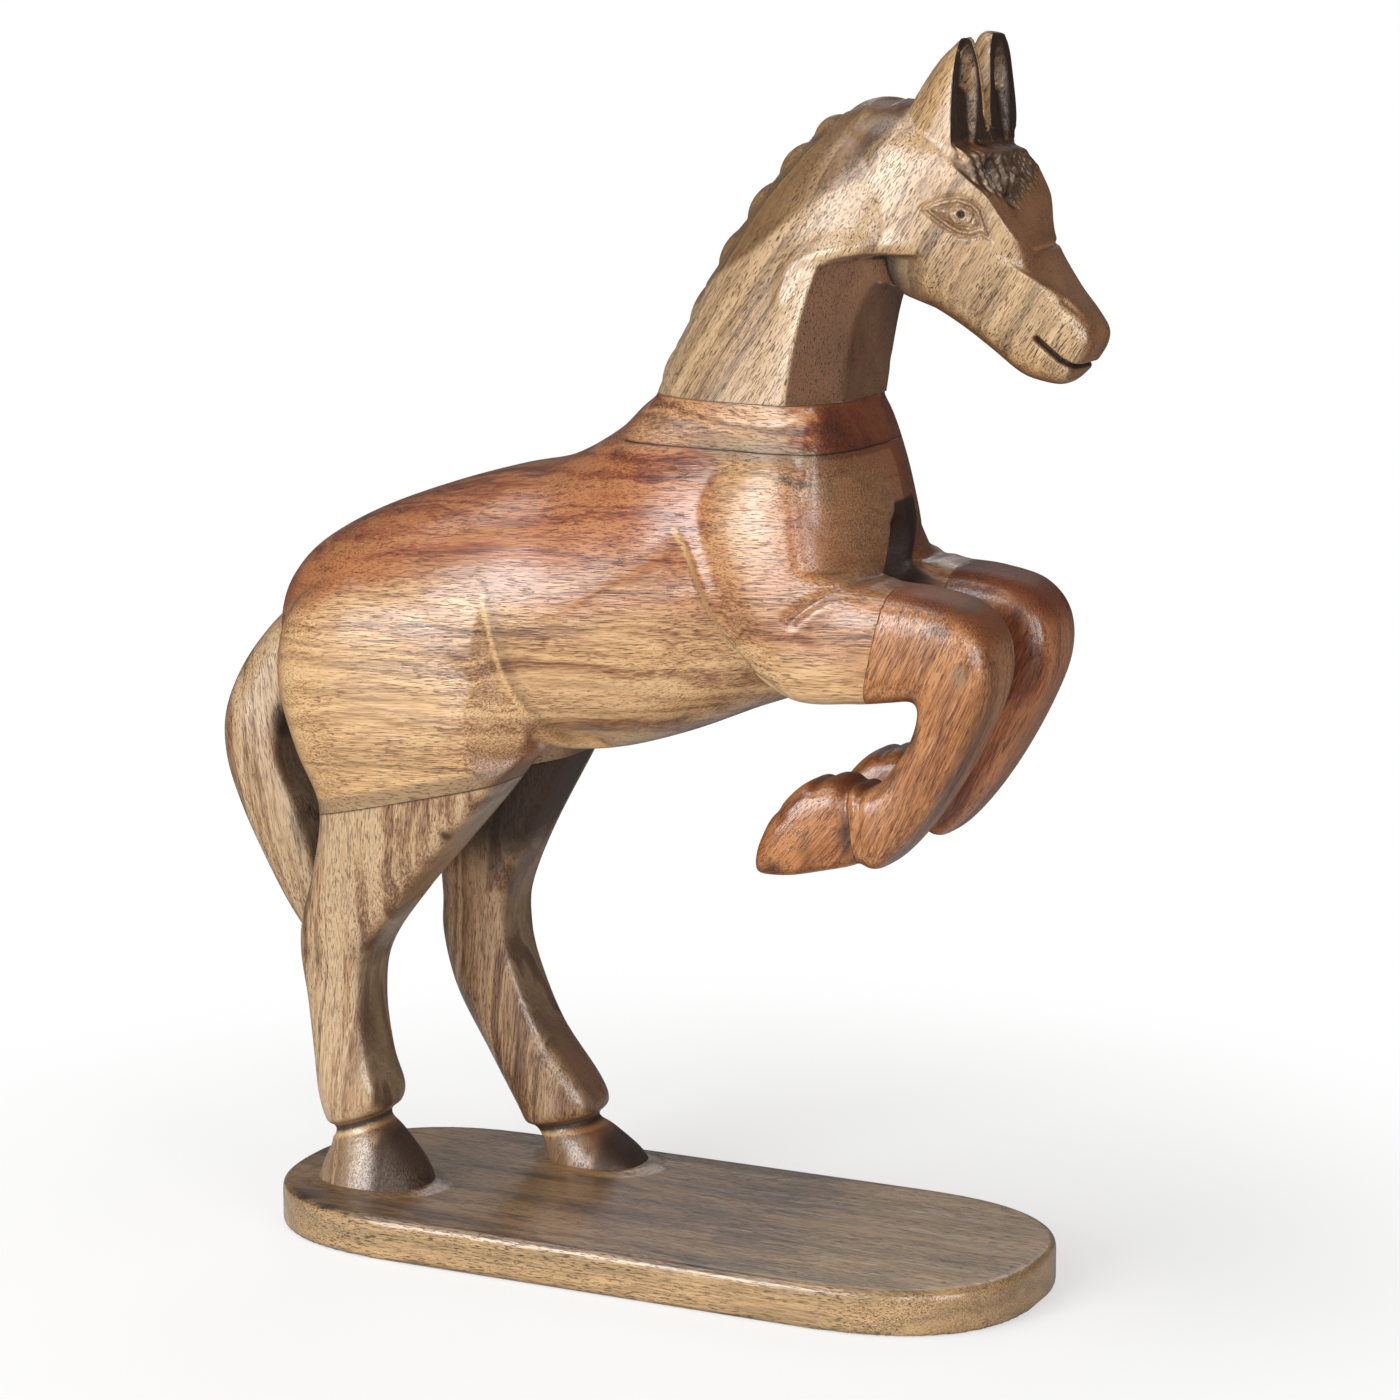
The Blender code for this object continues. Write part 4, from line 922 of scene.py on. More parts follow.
BOARD_TONES = [(0.36, "#22140a"), (0.44, "#4d3520"), (0.5, "#73563a"), (0.57, "#96754f"), (0.66, "#412913")]
HOOF_TONES = [(0.36, "#361609"), (0.44, "#6e3b1c"), (0.5, "#925a2c"), (0.57, "#aa7142"), (0.66, "#562810")]

# Worn and bare wood, which also carries painted sheen and highlights, filler, and stain, which also carries
# painted shade: the mesh's attribute, the colour, how far it covers the wood, and the amount at which it
# starts to show.
TINTS = [("pale", "#c9a673", 0.7, 0.45), ("putty", "#7d6449", 0.8, 0.45), ("stain_and_shade", "#1e0f08", 0.92, 0.33)]
END_GRAIN_TINT = "#b48a6c"
PORE_TINT = "#866f5d"

# How each block is cut: the angle of its fibres in side view from level towards the head, in degrees,
# its tones, its warm tones, where the pith lies beside it, in metres, a shift of the pattern, and the
# length in millimetres and the darkness of its pores.
CUTS = {
    "trunk": (3, TAN_TONES, RED_TONES, (0.05, 0.03), 0.0, 4.6, 0.75),
    "withers": (-4, TAN_TONES, RED_TONES, (0.02, 0.07), 3.1, 4.6, 0.75),
    "tail": (100, LEG_TONES, RED_TONES, (0.03, 0.06), 5.3, 4, 0.8),
    "hind": (84, LEG_TONES, RED_TONES, (0.05, 0.05), 8.2, 4, 0.8),
    "fore": (65, HOOF_TONES, RED_TONES, (0.04, 0.04), 11.4, 4.2, 0.7),
    "hoof": (50, HOOF_TONES, RED_TONES, (0.03, 0.04), 14.9, 4.2, 0.7),
    "neck": (57, NECK_TONES, GOLD_TONES, (0.05, 0.04), 2.2, 3.2, 1.0),
    "board": (0, BOARD_TONES, BOARD_TONES, (0.02, 0.05), 6.1, 3.2, 1.0),
}


def varnished_mango(block):
    """Open-pored mango, carved, darkened in the hollows with painted shade and varnished: silky, with a
    soft sheen.

    Every pattern is noise stretched along the fibres. Growth bands follow the distance from a pith
    beside the block, and show as blotches on end grain. Pores are dark dashes a few millimetres long,
    as in the real timber. The mesh's attributes say where the wood is warm, pale, filled, stained or
    end grain; pale also carries painted sheen and highlights, and stain also carries painted shade. Stain,
    with its painted shade, and end grain drink the varnish, so they are dull.
    """
    grain, tones, warm_tones, pith, shift, pore_length, pore_depth = CUTS[block]
    material, tree, shader = new_material("varnished_mango_" + block)
    place = add(tree, "TexCoord", output="Object")
    tilt = (0, math.radians(grain), math.radians(1.5))
    turned = add(tree, "Mapping", {"Vector": place, "Rotation": tilt})

    def amount(attribute):
        """The mesh's attribute of this name."""
        return add(tree, "Attribute", output="Fac", attribute_name=attribute)

    def stretched(length, width, detail, roughness=0.55, shift=0.0):
        """Noise with patches of this length along the fibres and this width across them."""
        scale = (1 / (length * MM), 1 / (width * MM), 1 / (width * MM))
        mapped = add(tree, "Mapping", {"Vector": turned, "Scale": scale, "Location": (shift, shift, 0)})
        inputs = {"Vector": mapped, "Scale": 1, "Detail": detail, "Roughness": roughness}
        return add(tree, "TexNoise", inputs)

    zones = stretched(*ZONES, 3, shift=shift)
    waver = stretched(*WAVER, 2, shift=5)
    fibres = stretched(*FIBRES, 3, 0.6)
    off_pith = {"Vector": turned, "Scale": (PITH_STRETCH, 1, 1), "Location": (0, *pith)}
    from_pith = add(tree, "Mapping", off_pith)
    radius = add(tree, "VectorMath", [from_pith], output="Value", operation="LENGTH")
    wavy = add(tree, "Math", [waver, BAND_WAVER * MM, radius], **SUM)
    band = {"W": wavy, "Scale": 1 / (BAND_SPACING * MM), "Detail": 3, "Roughness": 0.6}
    bands = add(tree, "TexNoise", band, noise_dimensions="1D")
    end = amount("end")
    band_share = add(tree, "MapRange", [end, 0.1, 0.6, 0.3, 0.06], **SMOOTH)
    level = add(tree, "MapRange", [end, 0.1, 0.6, 0, 0.12], **SMOOTH)
    mixed = add(tree, "Math", [zones, 0.38, level], **SUM)
    mixed = add(tree, "Math", [bands, band_share, mixed], **SUM)
    mixed = add(tree, "Math", [fibres, 0.32, mixed], **SUM)

    colour, warm_colour = grain_colours(tree, mixed, tones), grain_colours(tree, mixed, warm_tones)
    warm = add(tree, "Math", [zones, 0.9, amount("warm")], **SUM)
    warm = add(tree, "MapRange", [warm, 0.75, 1.15], **SMOOTH)
    colour = add(tree, "Mix", {"Factor": warm, "A": colour, "B": warm_colour}, **COLOUR)
    for attribute, tint, cover, start in TINTS:
        broken = add(tree, "Math", [fibres, 0.5, amount(attribute)], **SUM)
        share = add(tree, "MapRange", [broken, start, start + 0.6, 0, cover], **SMOOTH)
        colour = add(tree, "Mix", {"Factor": share, "A": colour, "B": (*linear(tint), 1)}, **COLOUR)
    end = add(tree, "Math", [end, 0.85], **TIMES)
    matte = add(tree, "Math", [share, end], operation="MAXIMUM")
    pores = stretched(pore_length, PORE_WIDTH, 1, 0.5, shift=2)
    pores = add(tree, "MapRange", [pores, 0.585, 0.65, 0, pore_depth], **SMOOTH)
    crowding = add(tree, "MapRange", [waver, 0.3, 0.55, 0.35, 1], **SMOOTH)
    pores = add(tree, "Math", [pores, crowding], **TIMES)
    for share, tint in ((end, END_GRAIN_TINT), (pores, PORE_TINT)):
        inputs = {"Factor": share, "A": colour, "B": (*linear(tint), 1)}
        colour = add(tree, "Mix", inputs, blend_type="MULTIPLY", **COLOUR)
    tree.links.new(colour, shader.inputs["Base Color"])

    height = add(tree, "Math", [pores, -0.16 * MM, 0], **SUM)
    height = add(tree, "Math", [fibres, 0.08 * MM, height], **SUM)
    height = add(tree, "Math", [waver, 0.4 * MM, height], **SUM)
    relief = add(tree, "Bump", {"Height": height, "Strength": 1, "Distance": 1.0})
    roughness = add(tree, "MapRange", [matte, 0.2, 0.9, 0.38, 0.62], **SMOOTH)
    varnish = add(tree, "MapRange", [matte, 0.2, 0.9, 0.9, 0.1], **SMOOTH)
    for socket, value in (
        ("Normal", relief), ("Coat Normal", relief), ("Roughness", roughness), ("Coat Weight", varnish),
    ):
        tree.links.new(value, shader.inputs[socket])
    shader.inputs["IOR"].default_value = 1.5
    shader.inputs["Coat Roughness"].default_value = 0.2
    return material


class FOAL_PG_settings(bpy.types.PropertyGroup):
    camera_distance: FloatProperty(
        name="Camera distance", description="From the camera to its target", default=1.370, unit="LENGTH"
    )
    camera_turn: FloatProperty(
        name="Camera turn", description="Round the statue, from its right side towards its face",
        default=math.radians(25.5), subtype="ANGLE",
    )
    camera_rise: FloatProperty(
        name="Camera rise", description="Above level", default=math.radians(10.8), subtype="ANGLE"
    )
    target: FloatVectorProperty(
        name="Camera target", description="The point in the middle of the picture",
        default=(0.0154, 0, 0.1974), subtype="TRANSLATION",
    )
    board_edge: FloatProperty(
        name="Board edge", description="Radius of the board's top edge", default=0.0028, unit="LENGTH"
    )
    dowel_colour: FloatVectorProperty(
        name="Dowel colour", description="Bare turned beech", default=linear("#cfae82"), size=3,
        subtype="COLOR",
    )
    steel_colour: FloatVectorProperty(
        name="Screw colour", description="Zinc-plated steel", default=linear("#c4c6c8"), size=3,
        subtype="COLOR",
    )


def body_shapes():
    """The forms of the whole figure."""
    near_ear = [(*rung[:4], rung[4] + 1.2, rung[5] * 0.82, *rung[6:]) for rung in EAR[:-2]] + NEAR_EAR_TIP
    middle = [form(TRUNK), form(NECK), form(HEAD), form(TAIL)]
    hind = [form(RIGHT_HIND_LEG, -1), form(LEFT_HIND_LEG)]
    pairs = [form(FORELEG, -1), form(FORELEG), form(near_ear, -1), form(EAR)]
    return middle + hind + pairs + mane_locks()


def shaded_hollows_and_worn_edges(mesh):
    """Stores where the surface is hollow, for painted shade, and where it is a worn edge."""
    points, normals = read_points(mesh)
    fine = ((neighbour_mean(mesh, points, 5) - points) * normals).sum(1)
    broad = ((neighbour_mean(mesh, points, 40) - points) * normals).sum(1)
    # Hollows: painted shade, darker the deeper the surface lies below its neighbours.
    shade(mesh, "hollow", 0.32 * rise(0.12, 0.5, fine) + 0.3 * rise(1.0, 3.2, broad))
    shade(mesh, "edge", rise(0.12, 0.5, -fine))


def node_names(start):
    """The solid nodes whose names start so."""
    return [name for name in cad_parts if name.startswith(start)]


def read_shade(mesh, name):
    """The number that the mesh stores for each vertex, or 0 where it stores none."""
    attribute = mesh.attributes.get(name)
    values = np.zeros(len(mesh.vertices), np.float32)
    if attribute is not None and len(attribute.data) == len(values):
        attribute.data.foreach_get("value", values)
    return values.astype(float)


def deepen(marks, name, *amounts):
    """Raises a mark to each of the amounts, where they are more."""
    for amount in amounts:
        marks[name] = np.maximum(marks[name], amount)


def mark_neck(points, normals, marks):
    """Painted shade inside the ears, over the forelock and in its holes, on the throat, in the pupils and
    in the mouth slit; a golden crest and jaw; and end grain on every face turned forwards, which is partly
    painted shade.
    """
    x, y, z = points.T
    forward, sideways = normals[:, 0], np.abs(normals[:, 1])
    # Every face turned forwards is taken as end grain: partly real end grain, partly painted shade.
    deepen(marks, "end", rise(0.45, 0.8, forward))
    inside_ear = rise(0.3, 0.6, forward) * rise(387, 391, z)
    forelock = rise(0.1, 0.4, forward) * rise(366, 372, z - 0.4 * np.abs(y + 7)) * (x > 100)
    throat = rise(0.35, 0.6, forward) * (x < 92) * (z < 352)
    pupil = bump(np.hypot(x - EYE_CENTRE[0], z - EYE_CENTRE[1]), 1.5) * (sideways > 0.2)
    mouth = bump(line_distance(points, MOUTH)[0], 0.9) * (y < 15)
    crest = rise(-2, 4, z - np.interp(x, *np.array(NECK_BROWN).T))
    crest = crest * (1 - rise(-2, 2, x - 86 - 0.55 * (z - 378.5))) * (x > 8)
    joint = bump(z - BOARD_TOP - NECK_JOINT, 0.7)
    # Painted shade inside the ears, over the forelock, on the throat, in the pupils and in the mouth slit.
    deepen(marks, "stain_and_shade", 0.62 * inside_ear, 0.46 * forelock, 0.3 * throat, 0.9 * pupil, 0.9 * mouth)
    deepen(marks, "stain_and_shade", 0.34 * crest * rise(30, -10, y), 0.3 * joint)
    # Painted shade in the forelock's holes.
    for hole_y, hole_z, _ in FORELOCK_HOLES:
        hole = bump(y - hole_y, 2) * bump(z - hole_z, 2.8)
        deepen(marks, "stain_and_shade", hole * (x > 98) * (forward > 0.1))
    muzzle = rise(122, 134, x)
    deepen(marks, "pale", bridge_line(points, normals, 0.9), 0.4 * muzzle * rise(0.3, 0.6, sideways))
    jaw = (1 - rise(0, 15, z - np.interp(x, *np.array(JAW_EDGE).T))) * rise(92, 100, x)
    cheek = rise(84, 100, x) * (1 - muzzle)
    deepen(marks, "warm", 0.75 * crest * (y < 4), 0.6 * jaw, 0.5 * cheek)


def mark_trunk(points, normals, marks):
    """A red back over a tan belly, painted highlights along the shoulder crease and the flank ridge, a
    painted sheen on the haunch and upper arm on the right side, and painted shade beyond the flank ridge
    and on the lower belly.
    """
    x, y, z = points.T
    over = z - np.interp(x, *np.array(RED_EDGE).T)
    redder = bump(over - 36 - 0.12 * (x + 50), 13) * (x < 40)
    marks["warm"] = 0.55 * rise(-14, 10, over) + 0.4 * redder
    crease, along = line_distance(points, SHOULDER_CREASE)
    ridge = line_distance(points, FLANK_RIDGE)[0]
    ahead = flank_ridge(points)
    haunch = rise(-30, -70, x) * rise(236, 205, z) * rise(-20, -32, y)
    upper_arm = rise(70, 82, x) * rise(240, 230, z) * (y < 0)
    belly = rise(-40, -10, x) * rise(215, 190, z) * (y < 0)
    # Painted highlights along the shoulder crease and the flank ridge.
    deepen(marks, "pale", 0.85 * bump(crease - 1.3, 1.7) * rise(0, 0.05, along))
    deepen(marks, "pale", 0.75 * bump(ridge - 0.4, 1.4) * (z < 237) * rise(188, 194, z))
    # A painted sheen on the haunch and the upper arm on the right side.
    deepen(marks, "pale", 0.5 * haunch, 0.4 * upper_arm)
    # Painted shade beyond the flank ridge and on the lower belly on the right side.
    below_ridge = rise(0.6, 1.6, ahead) * (1 - rise(3, 11, ahead)) * (z > 182) * (z < 240)
    deepen(marks, "stain_and_shade", 0.3 * below_ridge, 0.2 * belly)


def mark_withers(points, normals, marks):
    """A warm block, with a painted sheen on its right side, and redder in front."""
    x, y, _ = points.T
    marks["warm"] = 0.56 + 0.14 * rise(58, 72, x)
    # A painted sheen on the right side.
    deepen(marks, "pale", 0.34 * rise(-14, -26, y) * (1 - rise(64, 74, x)))


def mark_board(points, normals, marks):
    """Painted light on its side and a painted sheen towards its front end."""
    # Painted light on the side and a painted sheen towards the front end.
    deepen(marks, "pale", 0.55 * rise(0.7, 0.4, np.abs(normals[:, 2])), 0.5 * rise(-10, 90, points[:, 0]))
    marks["end"] = np.minimum(marks["end"], 0.2)


def mark_chest(points, normals, marks):
    """The brown chest, painted shade in the hollow between the forelegs, a painted sheen on the right
    shoulder, and the glue faces.
    """
    x, y, z = points.T
    # Painted shade in the hollow between the forelegs.
    hollow = rise(11, 8, np.abs(y - 4 - 0.25 * (z - 250))) * rise(272, 268, z) * rise(228, 234, z)
    hollow = hollow * (x > 62) * rise(-0.2, 0.2, normals[:, 0])
    over_crease = z - np.interp(x, *np.array(BREAST_CREASE).T)
    brown = rise(-0.6, 0.6, x - np.interp(z, *np.array(CHEST_EDGE).T))
    brown = brown * (1 - rise(280, 287, z)) * rise(0, 1, over_crease) * rise(8, -4, y)
    # A painted sheen on the right shoulder.
    shoulder = bump(x - 50, 25) * rise(226, 255, z) * rise(-18, -30, y)
    marks["end"] = np.where(brown > 0, np.minimum(marks["end"], 0.45), marks["end"])
    deepen(marks, "warm", 0.6 * brown)
    deepen(marks, "pale", 0.4 * brown, 0.5 * shoulder)
    height = z - BOARD_TOP
    withers_joint, neck_joint = bump(height - WITHERS_FOOT, 0.6) * (x > 0), bump(height - NECK_JOINT, 0.7)
    deepen(marks, "stain_and_shade", hollow, 0.5 * withers_joint, 0.3 * neck_joint)
    filler = rise(20, 38, x) * rise(84, 70, x) * bump(z - 289 + 0.06 * (x - 50), 3.2) * (np.abs(y) > 15)
    deepen(marks, "putty", 0.9 * filler)


def mark_hip(points, normals, marks):
    """A dark line and a band of filler along the hip joint."""
    x, _, z = points.T
    over = z - BOARD_TOP - HIND_JOINT[1] - (x - HIND_JOINT[0]) * math.tan(HIND_JOINT[2])
    deepen(marks, "stain_and_shade", 0.45 * bump(over, 0.6) * (z < 180) * (x < -30))
    deepen(marks, "putty", 0.72 * rise(-0.5, 0.5, over) * (1 - rise(4, 8, over)) * (x < -30) * (z < 185))


def mark_front(points, normals, marks):
    """Painted shade where a hind leg or the tail faces forwards."""
    # Painted shade on the faces turned forwards.
    deepen(marks, "stain_and_shade", 0.4 * rise(0.5, 0.9, normals[:, 0]))


def mark_hind(points, normals, marks):
    """Dark rings, toes, hocks and thighs, and a dark strip up the inner side of the left leg."""
    x, y, z = points.T
    left = y > 0
    marks["warm"] = np.maximum(0.42 * left, 0.3 * rise(44, 36, z))
    ring = np.where(y < 0, ring_height(points, RIGHT_FETLOCK), ring_height(points, LEFT_FETLOCK))
    strip = rise(-1, 3, x - np.interp(z, *np.array(LEFT_HIND_STRIP).T)) * rise(45, 70, z)
    inner = left * rise(0.35, -0.1, normals[:, 1]) * np.maximum(strip, rise(106, 150, z))
    toe = np.where(y < 0, rise(-106, -94, x), rise(-46, -34, x)) * rise(42, 34, z)
    hock = bump(np.hypot((x + 99) / 5, (z - 97) / 15), 1) * (y < 0)
    thigh = bump(np.hypot((x + 48) / 7, (z - 150) / 10), 1)
    deepen(marks, "stain_and_shade", 0.2 * left, 0.8 * bump(ring + 0.4, 1.5) * (z < 60))
    deepen(marks, "stain_and_shade", 0.32 * (ring < -4) + 0.74 * inner, 0.6 * toe, 0.5 * hock, 0.5 * thigh)
    deepen(marks, "pale", 0.8 * bump(ring + 3, 1) * (z < 60))


def mark_fore(points, normals, marks):
    """Warmer down the cannon and on the left leg; a painted sheen on the right leg, and painted shade on
    the sides of the left leg.
    """
    x, y, z = points.T
    marks["warm"] = 0.32 + 0.25 * rise(100, 130, x) * rise(215, 195, z) + 0.2 * (y > 0)
    # A painted sheen on the right leg.
    deepen(marks, "pale", 0.32 * (y < 0))
    # Painted shade on the sides of the left leg.
    deepen(marks, "stain_and_shade", 0.25 * (y > 0) * rise(0.3, 0.8, np.abs(normals[:, 1])))


# Each block's marks. A mark takes the points, the normals and the amounts so far.
MARKS = {
    "trunk": [mark_trunk, mark_chest, mark_hip],
    "withers": [mark_withers, mark_chest],
    "tail": [mark_front],
    "hind": [mark_hip, mark_hind, mark_front],
    "fore": [mark_fore],
    "hoof": [],
    "neck": [mark_neck],
    "board": [mark_board],
}


def colour_masks(mesh, block):
    """Stores where a block is warm, pale, filled or stained, and where it shows its end grain; pale also
    carries painted sheen and highlights, and stain also carries painted shade.
    """
    points, normals = read_points(mesh)
    grain = math.radians(CUTS[block][0])
    fibre = np.array([math.cos(grain), 0, math.sin(grain)])
    marks = {
        "warm": np.zeros(len(points)),
        "pale": 0.4 * read_shade(mesh, "edge"),
        "putty": np.zeros(len(points)),
        # The hollows start the dark mark as painted shade.
        "stain_and_shade": read_shade(mesh, "hollow"),
        "end": rise(0.4, 0.9, np.abs(normals @ fibre)),
    }
    for mark in MARKS[block]:
        mark(points, normals, marks)
    for x, z, half_length, half_height, amount in SPOTS.get(block, ()):
        away = np.hypot((points[:, 0] - x) / half_length, (points[:, 2] - z) / half_height)
        spot = amount * bump(away, 1) * (points[:, 1] < 0)
        deepen(marks, "stain_and_shade", spot)
        deepen(marks, "putty", -spot)
    for name, values in marks.items():
        shade(mesh, name, np.clip(values, 0, 1))


def carve_out(node, figure, stock, block, material, fasteners, minus=()):
    """Cuts a block and its bores out of the figure, colours it and puts it in its node's place."""
    bores = [bore(name) for start in fasteners for name in node_names(start)]
    mesh = cut_block(node, figure, stock, [*minus, *bores])
    colour_masks(mesh, block)
    show(node, mesh, material)


class FOAL_OT_body(bpy.types.Operator):
    """Carves the body and cuts it into trunk, withers, shoulder, tail, legs and fore hooves"""
    bl_idname = "foal.body"
    bl_label = "Body blocks"

    def execute(self, context):
        figure = merged("body_figure", body_shapes(), BODY_VOXEL, SMOOTH_STEPS)
        carved = carve_body(*read_points(figure))
        stifle = (np.abs(flank_ridge(carved)) < 5) * (carved[:, 2] < 197) * (carved[:, 2] > 172)
        share = 0.5 + 0.5 * stifle
        for _ in range(3):
            carved = carved + share[:, None] * (neighbour_mean(figure, carved, 1) - carved)
            share = np.where(share > 0.5, share, 0)
        write_points(figure, carved)
        shaded_hollows_and_worn_edges(figure)
        outlines = block_outlines()
        drop = (STOCK_HALF_WIDTH - WITHERS_SEAM_Y) * math.tan(SHOULDER_BLOCK_SLOPE)
        shoulder = [
            (WITHERS_SEAM_Y, NECK_JOINT), (WITHERS_SEAM_Y, WITHERS_FOOT),
            (STOCK_HALF_WIDTH, WITHERS_FOOT - drop), (STOCK_HALF_WIDTH, NECK_JOINT),
        ]
        lengthwise = {"high": SHOULDER_BLOCK_FRONT, "lengthwise": True}
        recess = prism("recess", shoulder, SHOULDER_BLOCK_REAR - GLUE_LINE, margin=-SEAM, **lengthwise)
        woods = {block: varnished_mango(block) for block in outlines if block != "neck"}
        for node, block, low, high, slot, fasteners in BODY_BLOCKS:
            stock = prism(node + "_stock", outlines[block], low, high)
            minus = [recess] if node == "trunk" else []
            carve_out(node, figure, stock, block, woods[block], fasteners, minus)
        node, wood = "left_shoulder_block", woods["withers"]
        stock = prism(node + "_stock", shoulder, SHOULDER_BLOCK_REAR, **lengthwise)
        carve_out(node, figure, stock, "withers", wood, ["left_shoulder_dowel"])
        return {"FINISHED"}


class FOAL_OT_neck(bpy.types.Operator):
    """Carves the neck and head with mane, ears, eyes and mouth"""
    bl_idname = "foal.neck"
    bl_label = "Neck and head"

    def execute(self, context):
        figure = merged("neck_figure", body_shapes(), NECK_VOXEL, SMOOTH_STEPS)
        stock = prism("neck_stock", block_outlines()["neck"], -STOCK_HALF_WIDTH, STOCK_HALF_WIDTH)
        for least_x, low, high in FINE_PARTS:
            refine(figure, lambda p: (p[:, 0] > least_x) & (p[:, 2] > low) & (p[:, 2] < high))
        write_points(figure, carve_neck(*read_points(figure)))
        shaded_hollows_and_worn_edges(figure)
        wood = varnished_mango("neck")
        carve_out("neck_and_head", figure, stock, "neck", wood, ["neck_dowel"])
        return {"FINISHED"}


class FOAL_OT_board(bpy.types.Operator):
    """Makes the board, with a rounded top edge and a carved lip round each hoof"""
    bl_idname = "foal.board"
    bl_label = "Board"

    def execute(self, context):
        edge = context.scene.foal.board_edge / MM
        length, width = (BOARD_HIGH[0] - BOARD_LOW[0]) / MM, (BOARD_HIGH[1] - BOARD_LOW[1]) / MM
        angle = np.linspace(-math.pi / 2, math.pi / 2, 90)
        power = 2 / BOARD_SQUARENESS
        reach = length / 2 - BOARD_END + np.abs(np.cos(angle)) ** power * BOARD_END
        aside = np.sign(np.sin(angle)) * np.abs(np.sin(angle)) ** power * width / 2
        outline = np.vstack([np.stack([reach, aside], 1), np.stack([-reach, -aside], 1)])
        turn = np.linspace(0, math.pi / 2, 7)
        low = BOARD_FOOT_EDGE
        offsets = np.r_[low, low * 0.3, 0, 0, edge * (1 - np.cos(turn))]
        heights = np.r_[0, low * 0.3, low, BOARD_TOP - edge, BOARD_TOP - edge + edge * np.sin(turn)]
        run = np.roll(outline, -1, axis=0) - np.roll(outline, 1, axis=0)
        inward = np.stack([-run[:, 1], run[:, 0]], 1) / np.linalg.norm(run, axis=1)[:, None]
        grid = np.stack([
            np.column_stack([outline + inward * offset, np.full(len(outline), height)])
            for offset, height in zip(offsets, heights)
        ])
        board = merged("board", [capped_tube(grid[::-1])], BOARD_VOXEL, BOARD_SMOOTH_STEPS)
        points, normals = read_points(board)
        height = np.zeros(len(points))
        for x, y, half_x, half_y in HOOF_LIPS:
            ring = np.hypot((points[:, 0] - x) / half_x, (points[:, 1] - y) / half_y)
            height += 1.1 * (1 - rise(0.98, 1.25, ring)) * (normals[:, 2] > 0.9)
        write_points(board, points + normals * height[:, None])
        shaded_hollows_and_worn_edges(board)
        room = [(-200, -60), (200, -60), (200, BOARD_TOP + 20), (-200, BOARD_TOP + 20)]
        stock = prism("board_room", room, -100, 100)
        stock.transform(Matrix.Translation(Vector((0, 0, -BOARD_TOP * MM))))
        wood = varnished_mango("board")
        carve_out("base_board", board, stock, "board", wood, ["base_screw"])
        return {"FINISHED"}


class FOAL_OT_fasteners(bpy.types.Operator):
    """Gives the hidden dowels and screws their wood and steel"""
    bl_idname = "foal.fasteners"
    bl_label = "Dowels and screws"

    def execute(self, context):
        settings = context.scene.foal
        beech, tree, shader = new_material("turned_beech")
        place = add(tree, "TexCoord", output="Object")
        fine = add(tree, "TexNoise", {"Vector": place, "Scale": 900, "Detail": 3})
        dark = tuple(c * 0.7 for c in settings.dowel_colour)
        inputs = {"Factor": fine, "A": (*dark, 1), "B": (*settings.dowel_colour, 1)}
        tree.links.new(add(tree, "Mix", inputs, **COLOUR), shader.inputs["Base Color"])
        shader.inputs["Roughness"].default_value = 0.6
        steel, tree, shader = new_material("zinc_plated_steel")
        place = add(tree, "TexCoord", output="Object")
        cloudy = add(tree, "TexNoise", {"Vector": place, "Scale": 700, "Detail": 4})
        roughness = add(tree, "MapRange", [cloudy, 0.3, 0.7, 0.28, 0.5], **SMOOTH)
        tree.links.new(roughness, shader.inputs["Roughness"])
        shader.inputs["Base Color"].default_value = (*settings.steel_colour, 1)
        shader.inputs["Metallic"].default_value = 1
        for name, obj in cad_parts.items():
            if "dowel" in name or "screw" in name:
                obj.data.materials.clear()
                obj.data.materials.append(beech if "dowel" in name else steel)
        return {"FINISHED"}


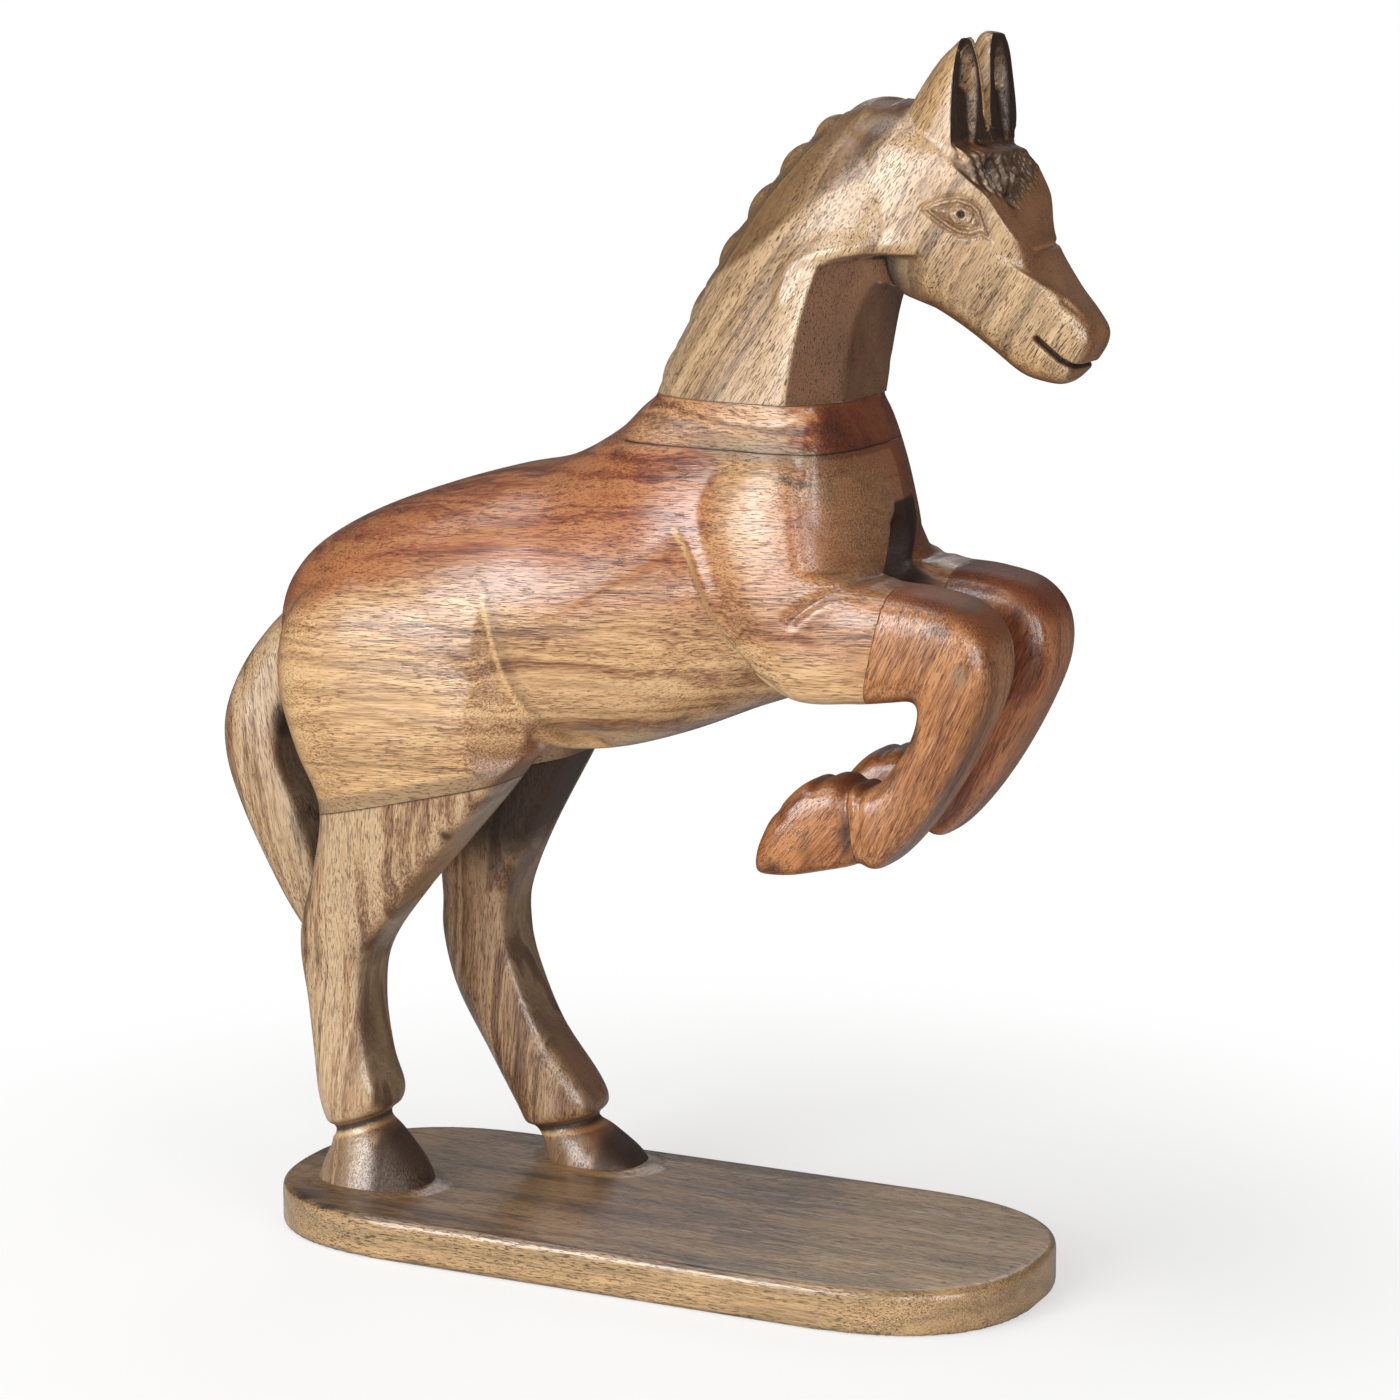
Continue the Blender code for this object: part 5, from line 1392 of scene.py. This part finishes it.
class FOAL_OT_stage(bpy.types.Operator):
    """Sets the pale floor, the lamps, the world and the camera"""
    bl_idname = "foal.stage"
    bl_label = "Stage"

    def execute(self, context):
        scene, settings = context.scene, context.scene.foal
        scene.view_settings.view_transform = "Standard"
        ring = np.linspace(0, 2 * math.pi, FLOOR_SIDES, endpoint=False)
        flat = [FLOOR_RADIUS * np.cos(ring), FLOOR_RADIUS * np.sin(ring), np.full(FLOOR_SIDES, -FLOOR_GAP)]
        rim = np.column_stack(flat)
        floor = bpy.data.objects.new("floor", mesh_from("floor", [(rim, [list(range(FLOOR_SIDES))])]))
        scene.collection.objects.link(floor)
        # White paper, which the camera sees as pure white from the board's ends outwards.
        pale, tree, shader = new_material("white_paper")
        shader.inputs["Base Color"].default_value = (*linear("#f7f7f7"), 1)
        shader.inputs["Roughness"].default_value = 0.9
        place = add(tree, "TexCoord", output="Object")
        radius = add(tree, "VectorMath", [place], output="Value", operation="LENGTH")
        rays = add(tree, "LightPath").node.outputs
        glossy = rays["Is Glossy Ray"]
        seen = add(tree, "Math", [rays["Is Camera Ray"], glossy], operation="MAXIMUM")
        seen = add(tree, "Math", [seen, rays["Is Transmission Ray"]], operation="MAXIMUM")
        away = add(tree, "MapRange", [radius, 0.17, 0.4, 0.55, 1], **SMOOTH)
        share = add(tree, "Math", [seen, away], **TIMES)
        strength = add(tree, "MapRange", [glossy, 0, 1, 1, 0.12], **SMOOTH)
        white = add(tree, "Emission", {"Color": (1, 1, 1, 1), "Strength": strength})
        mix = add(tree, "MixShader", [share, shader.outputs[0], white])
        tree.links.new(mix, tree.nodes["Material Output"].inputs["Surface"])
        floor.data.materials.append(pale)
        # A world that the camera sees as white, but that lights the wood only softly.
        world = bpy.data.worlds.new("studio")
        scene.world = world
        world.use_nodes = True
        tree = world.node_tree
        rays = add(tree, "LightPath").node.outputs
        seen = add(tree, "Math", [rays["Is Camera Ray"], rays["Is Transmission Ray"]], operation="MAXIMUM")
        strength = add(tree, "MapRange", [rays["Is Glossy Ray"], 0, 1, 0.3, 0.12], **SMOOTH)
        soft = add(tree, "Background", {"Color": (*linear("#f4f1ec"), 1), "Strength": strength})
        white = add(tree, "Background", {"Color": (1, 1, 1, 1), "Strength": 1})
        mix = add(tree, "MixShader", [seen, soft, white])
        tree.links.new(mix, tree.nodes["World Output"].inputs["Surface"])
        for name, place, size, watts in LAMPS:
            data = bpy.data.lights.new(name, "AREA")
            data.shape = "RECTANGLE"
            data.size, data.size_y = size
            data.energy = watts
            lamp = bpy.data.objects.new(name, data)
            lamp.location = place
            lamp.rotation_euler = (Vector(LAMP_TARGET) - Vector(place)).to_track_quat("-Z", "Y").to_euler()
            lamp.visible_camera = False
            scene.collection.objects.link(lamp)
        turn, up = settings.camera_turn, settings.camera_rise
        back = Vector((math.sin(turn) * math.cos(up), -math.cos(turn) * math.cos(up), math.sin(up)))
        data = bpy.data.cameras.new("camera")
        data.sensor_width = SENSOR_WIDTH
        data.lens = SENSOR_WIDTH * FOCAL_LENGTH / PICTURE_WIDTH
        camera = bpy.data.objects.new("camera", data)
        camera.location = Vector(settings.target) + back * settings.camera_distance
        camera.rotation_euler = back.to_track_quat("Z", "Y").to_euler()
        scene.collection.objects.link(camera)
        scene.camera = camera
        return {"FINISHED"}


class FOAL_PT_panel(bpy.types.Panel):
    """Lists the pieces and the sizes"""
    bl_idname = "FOAL_PT_panel"
    bl_label = "Carved wooden foal"
    bl_space_type = "VIEW_3D"
    bl_region_type = "UI"
    bl_category = "Foal"

    def draw(self, context):
        for operator in OPERATORS:
            self.layout.operator(operator.bl_idname)
        for name in FOAL_PG_settings.__annotations__:
            self.layout.prop(context.scene.foal, name)


OPERATORS = (FOAL_OT_stage, FOAL_OT_body, FOAL_OT_neck, FOAL_OT_board, FOAL_OT_fasteners)
CLASSES = (FOAL_PG_settings, *OPERATORS, FOAL_PT_panel)


def register():
    """Adds the classes and the scene's settings."""
    for cls in CLASSES:
        bpy.utils.register_class(cls)
    bpy.types.Scene.foal = PointerProperty(type=FOAL_PG_settings)


def unregister():
    """Takes the settings and the classes away again."""
    del bpy.types.Scene.foal
    for cls in reversed(CLASSES):
        bpy.utils.unregister_class(cls)


def main():
    """Builds the whole scene: the stage, the body, the neck and head, the board and the fasteners."""
    register()
    bpy.ops.foal.stage()
    bpy.ops.foal.body()
    bpy.ops.foal.neck()
    bpy.ops.foal.board()
    bpy.ops.foal.fasteners()


if __name__ == "__main__":
    main()
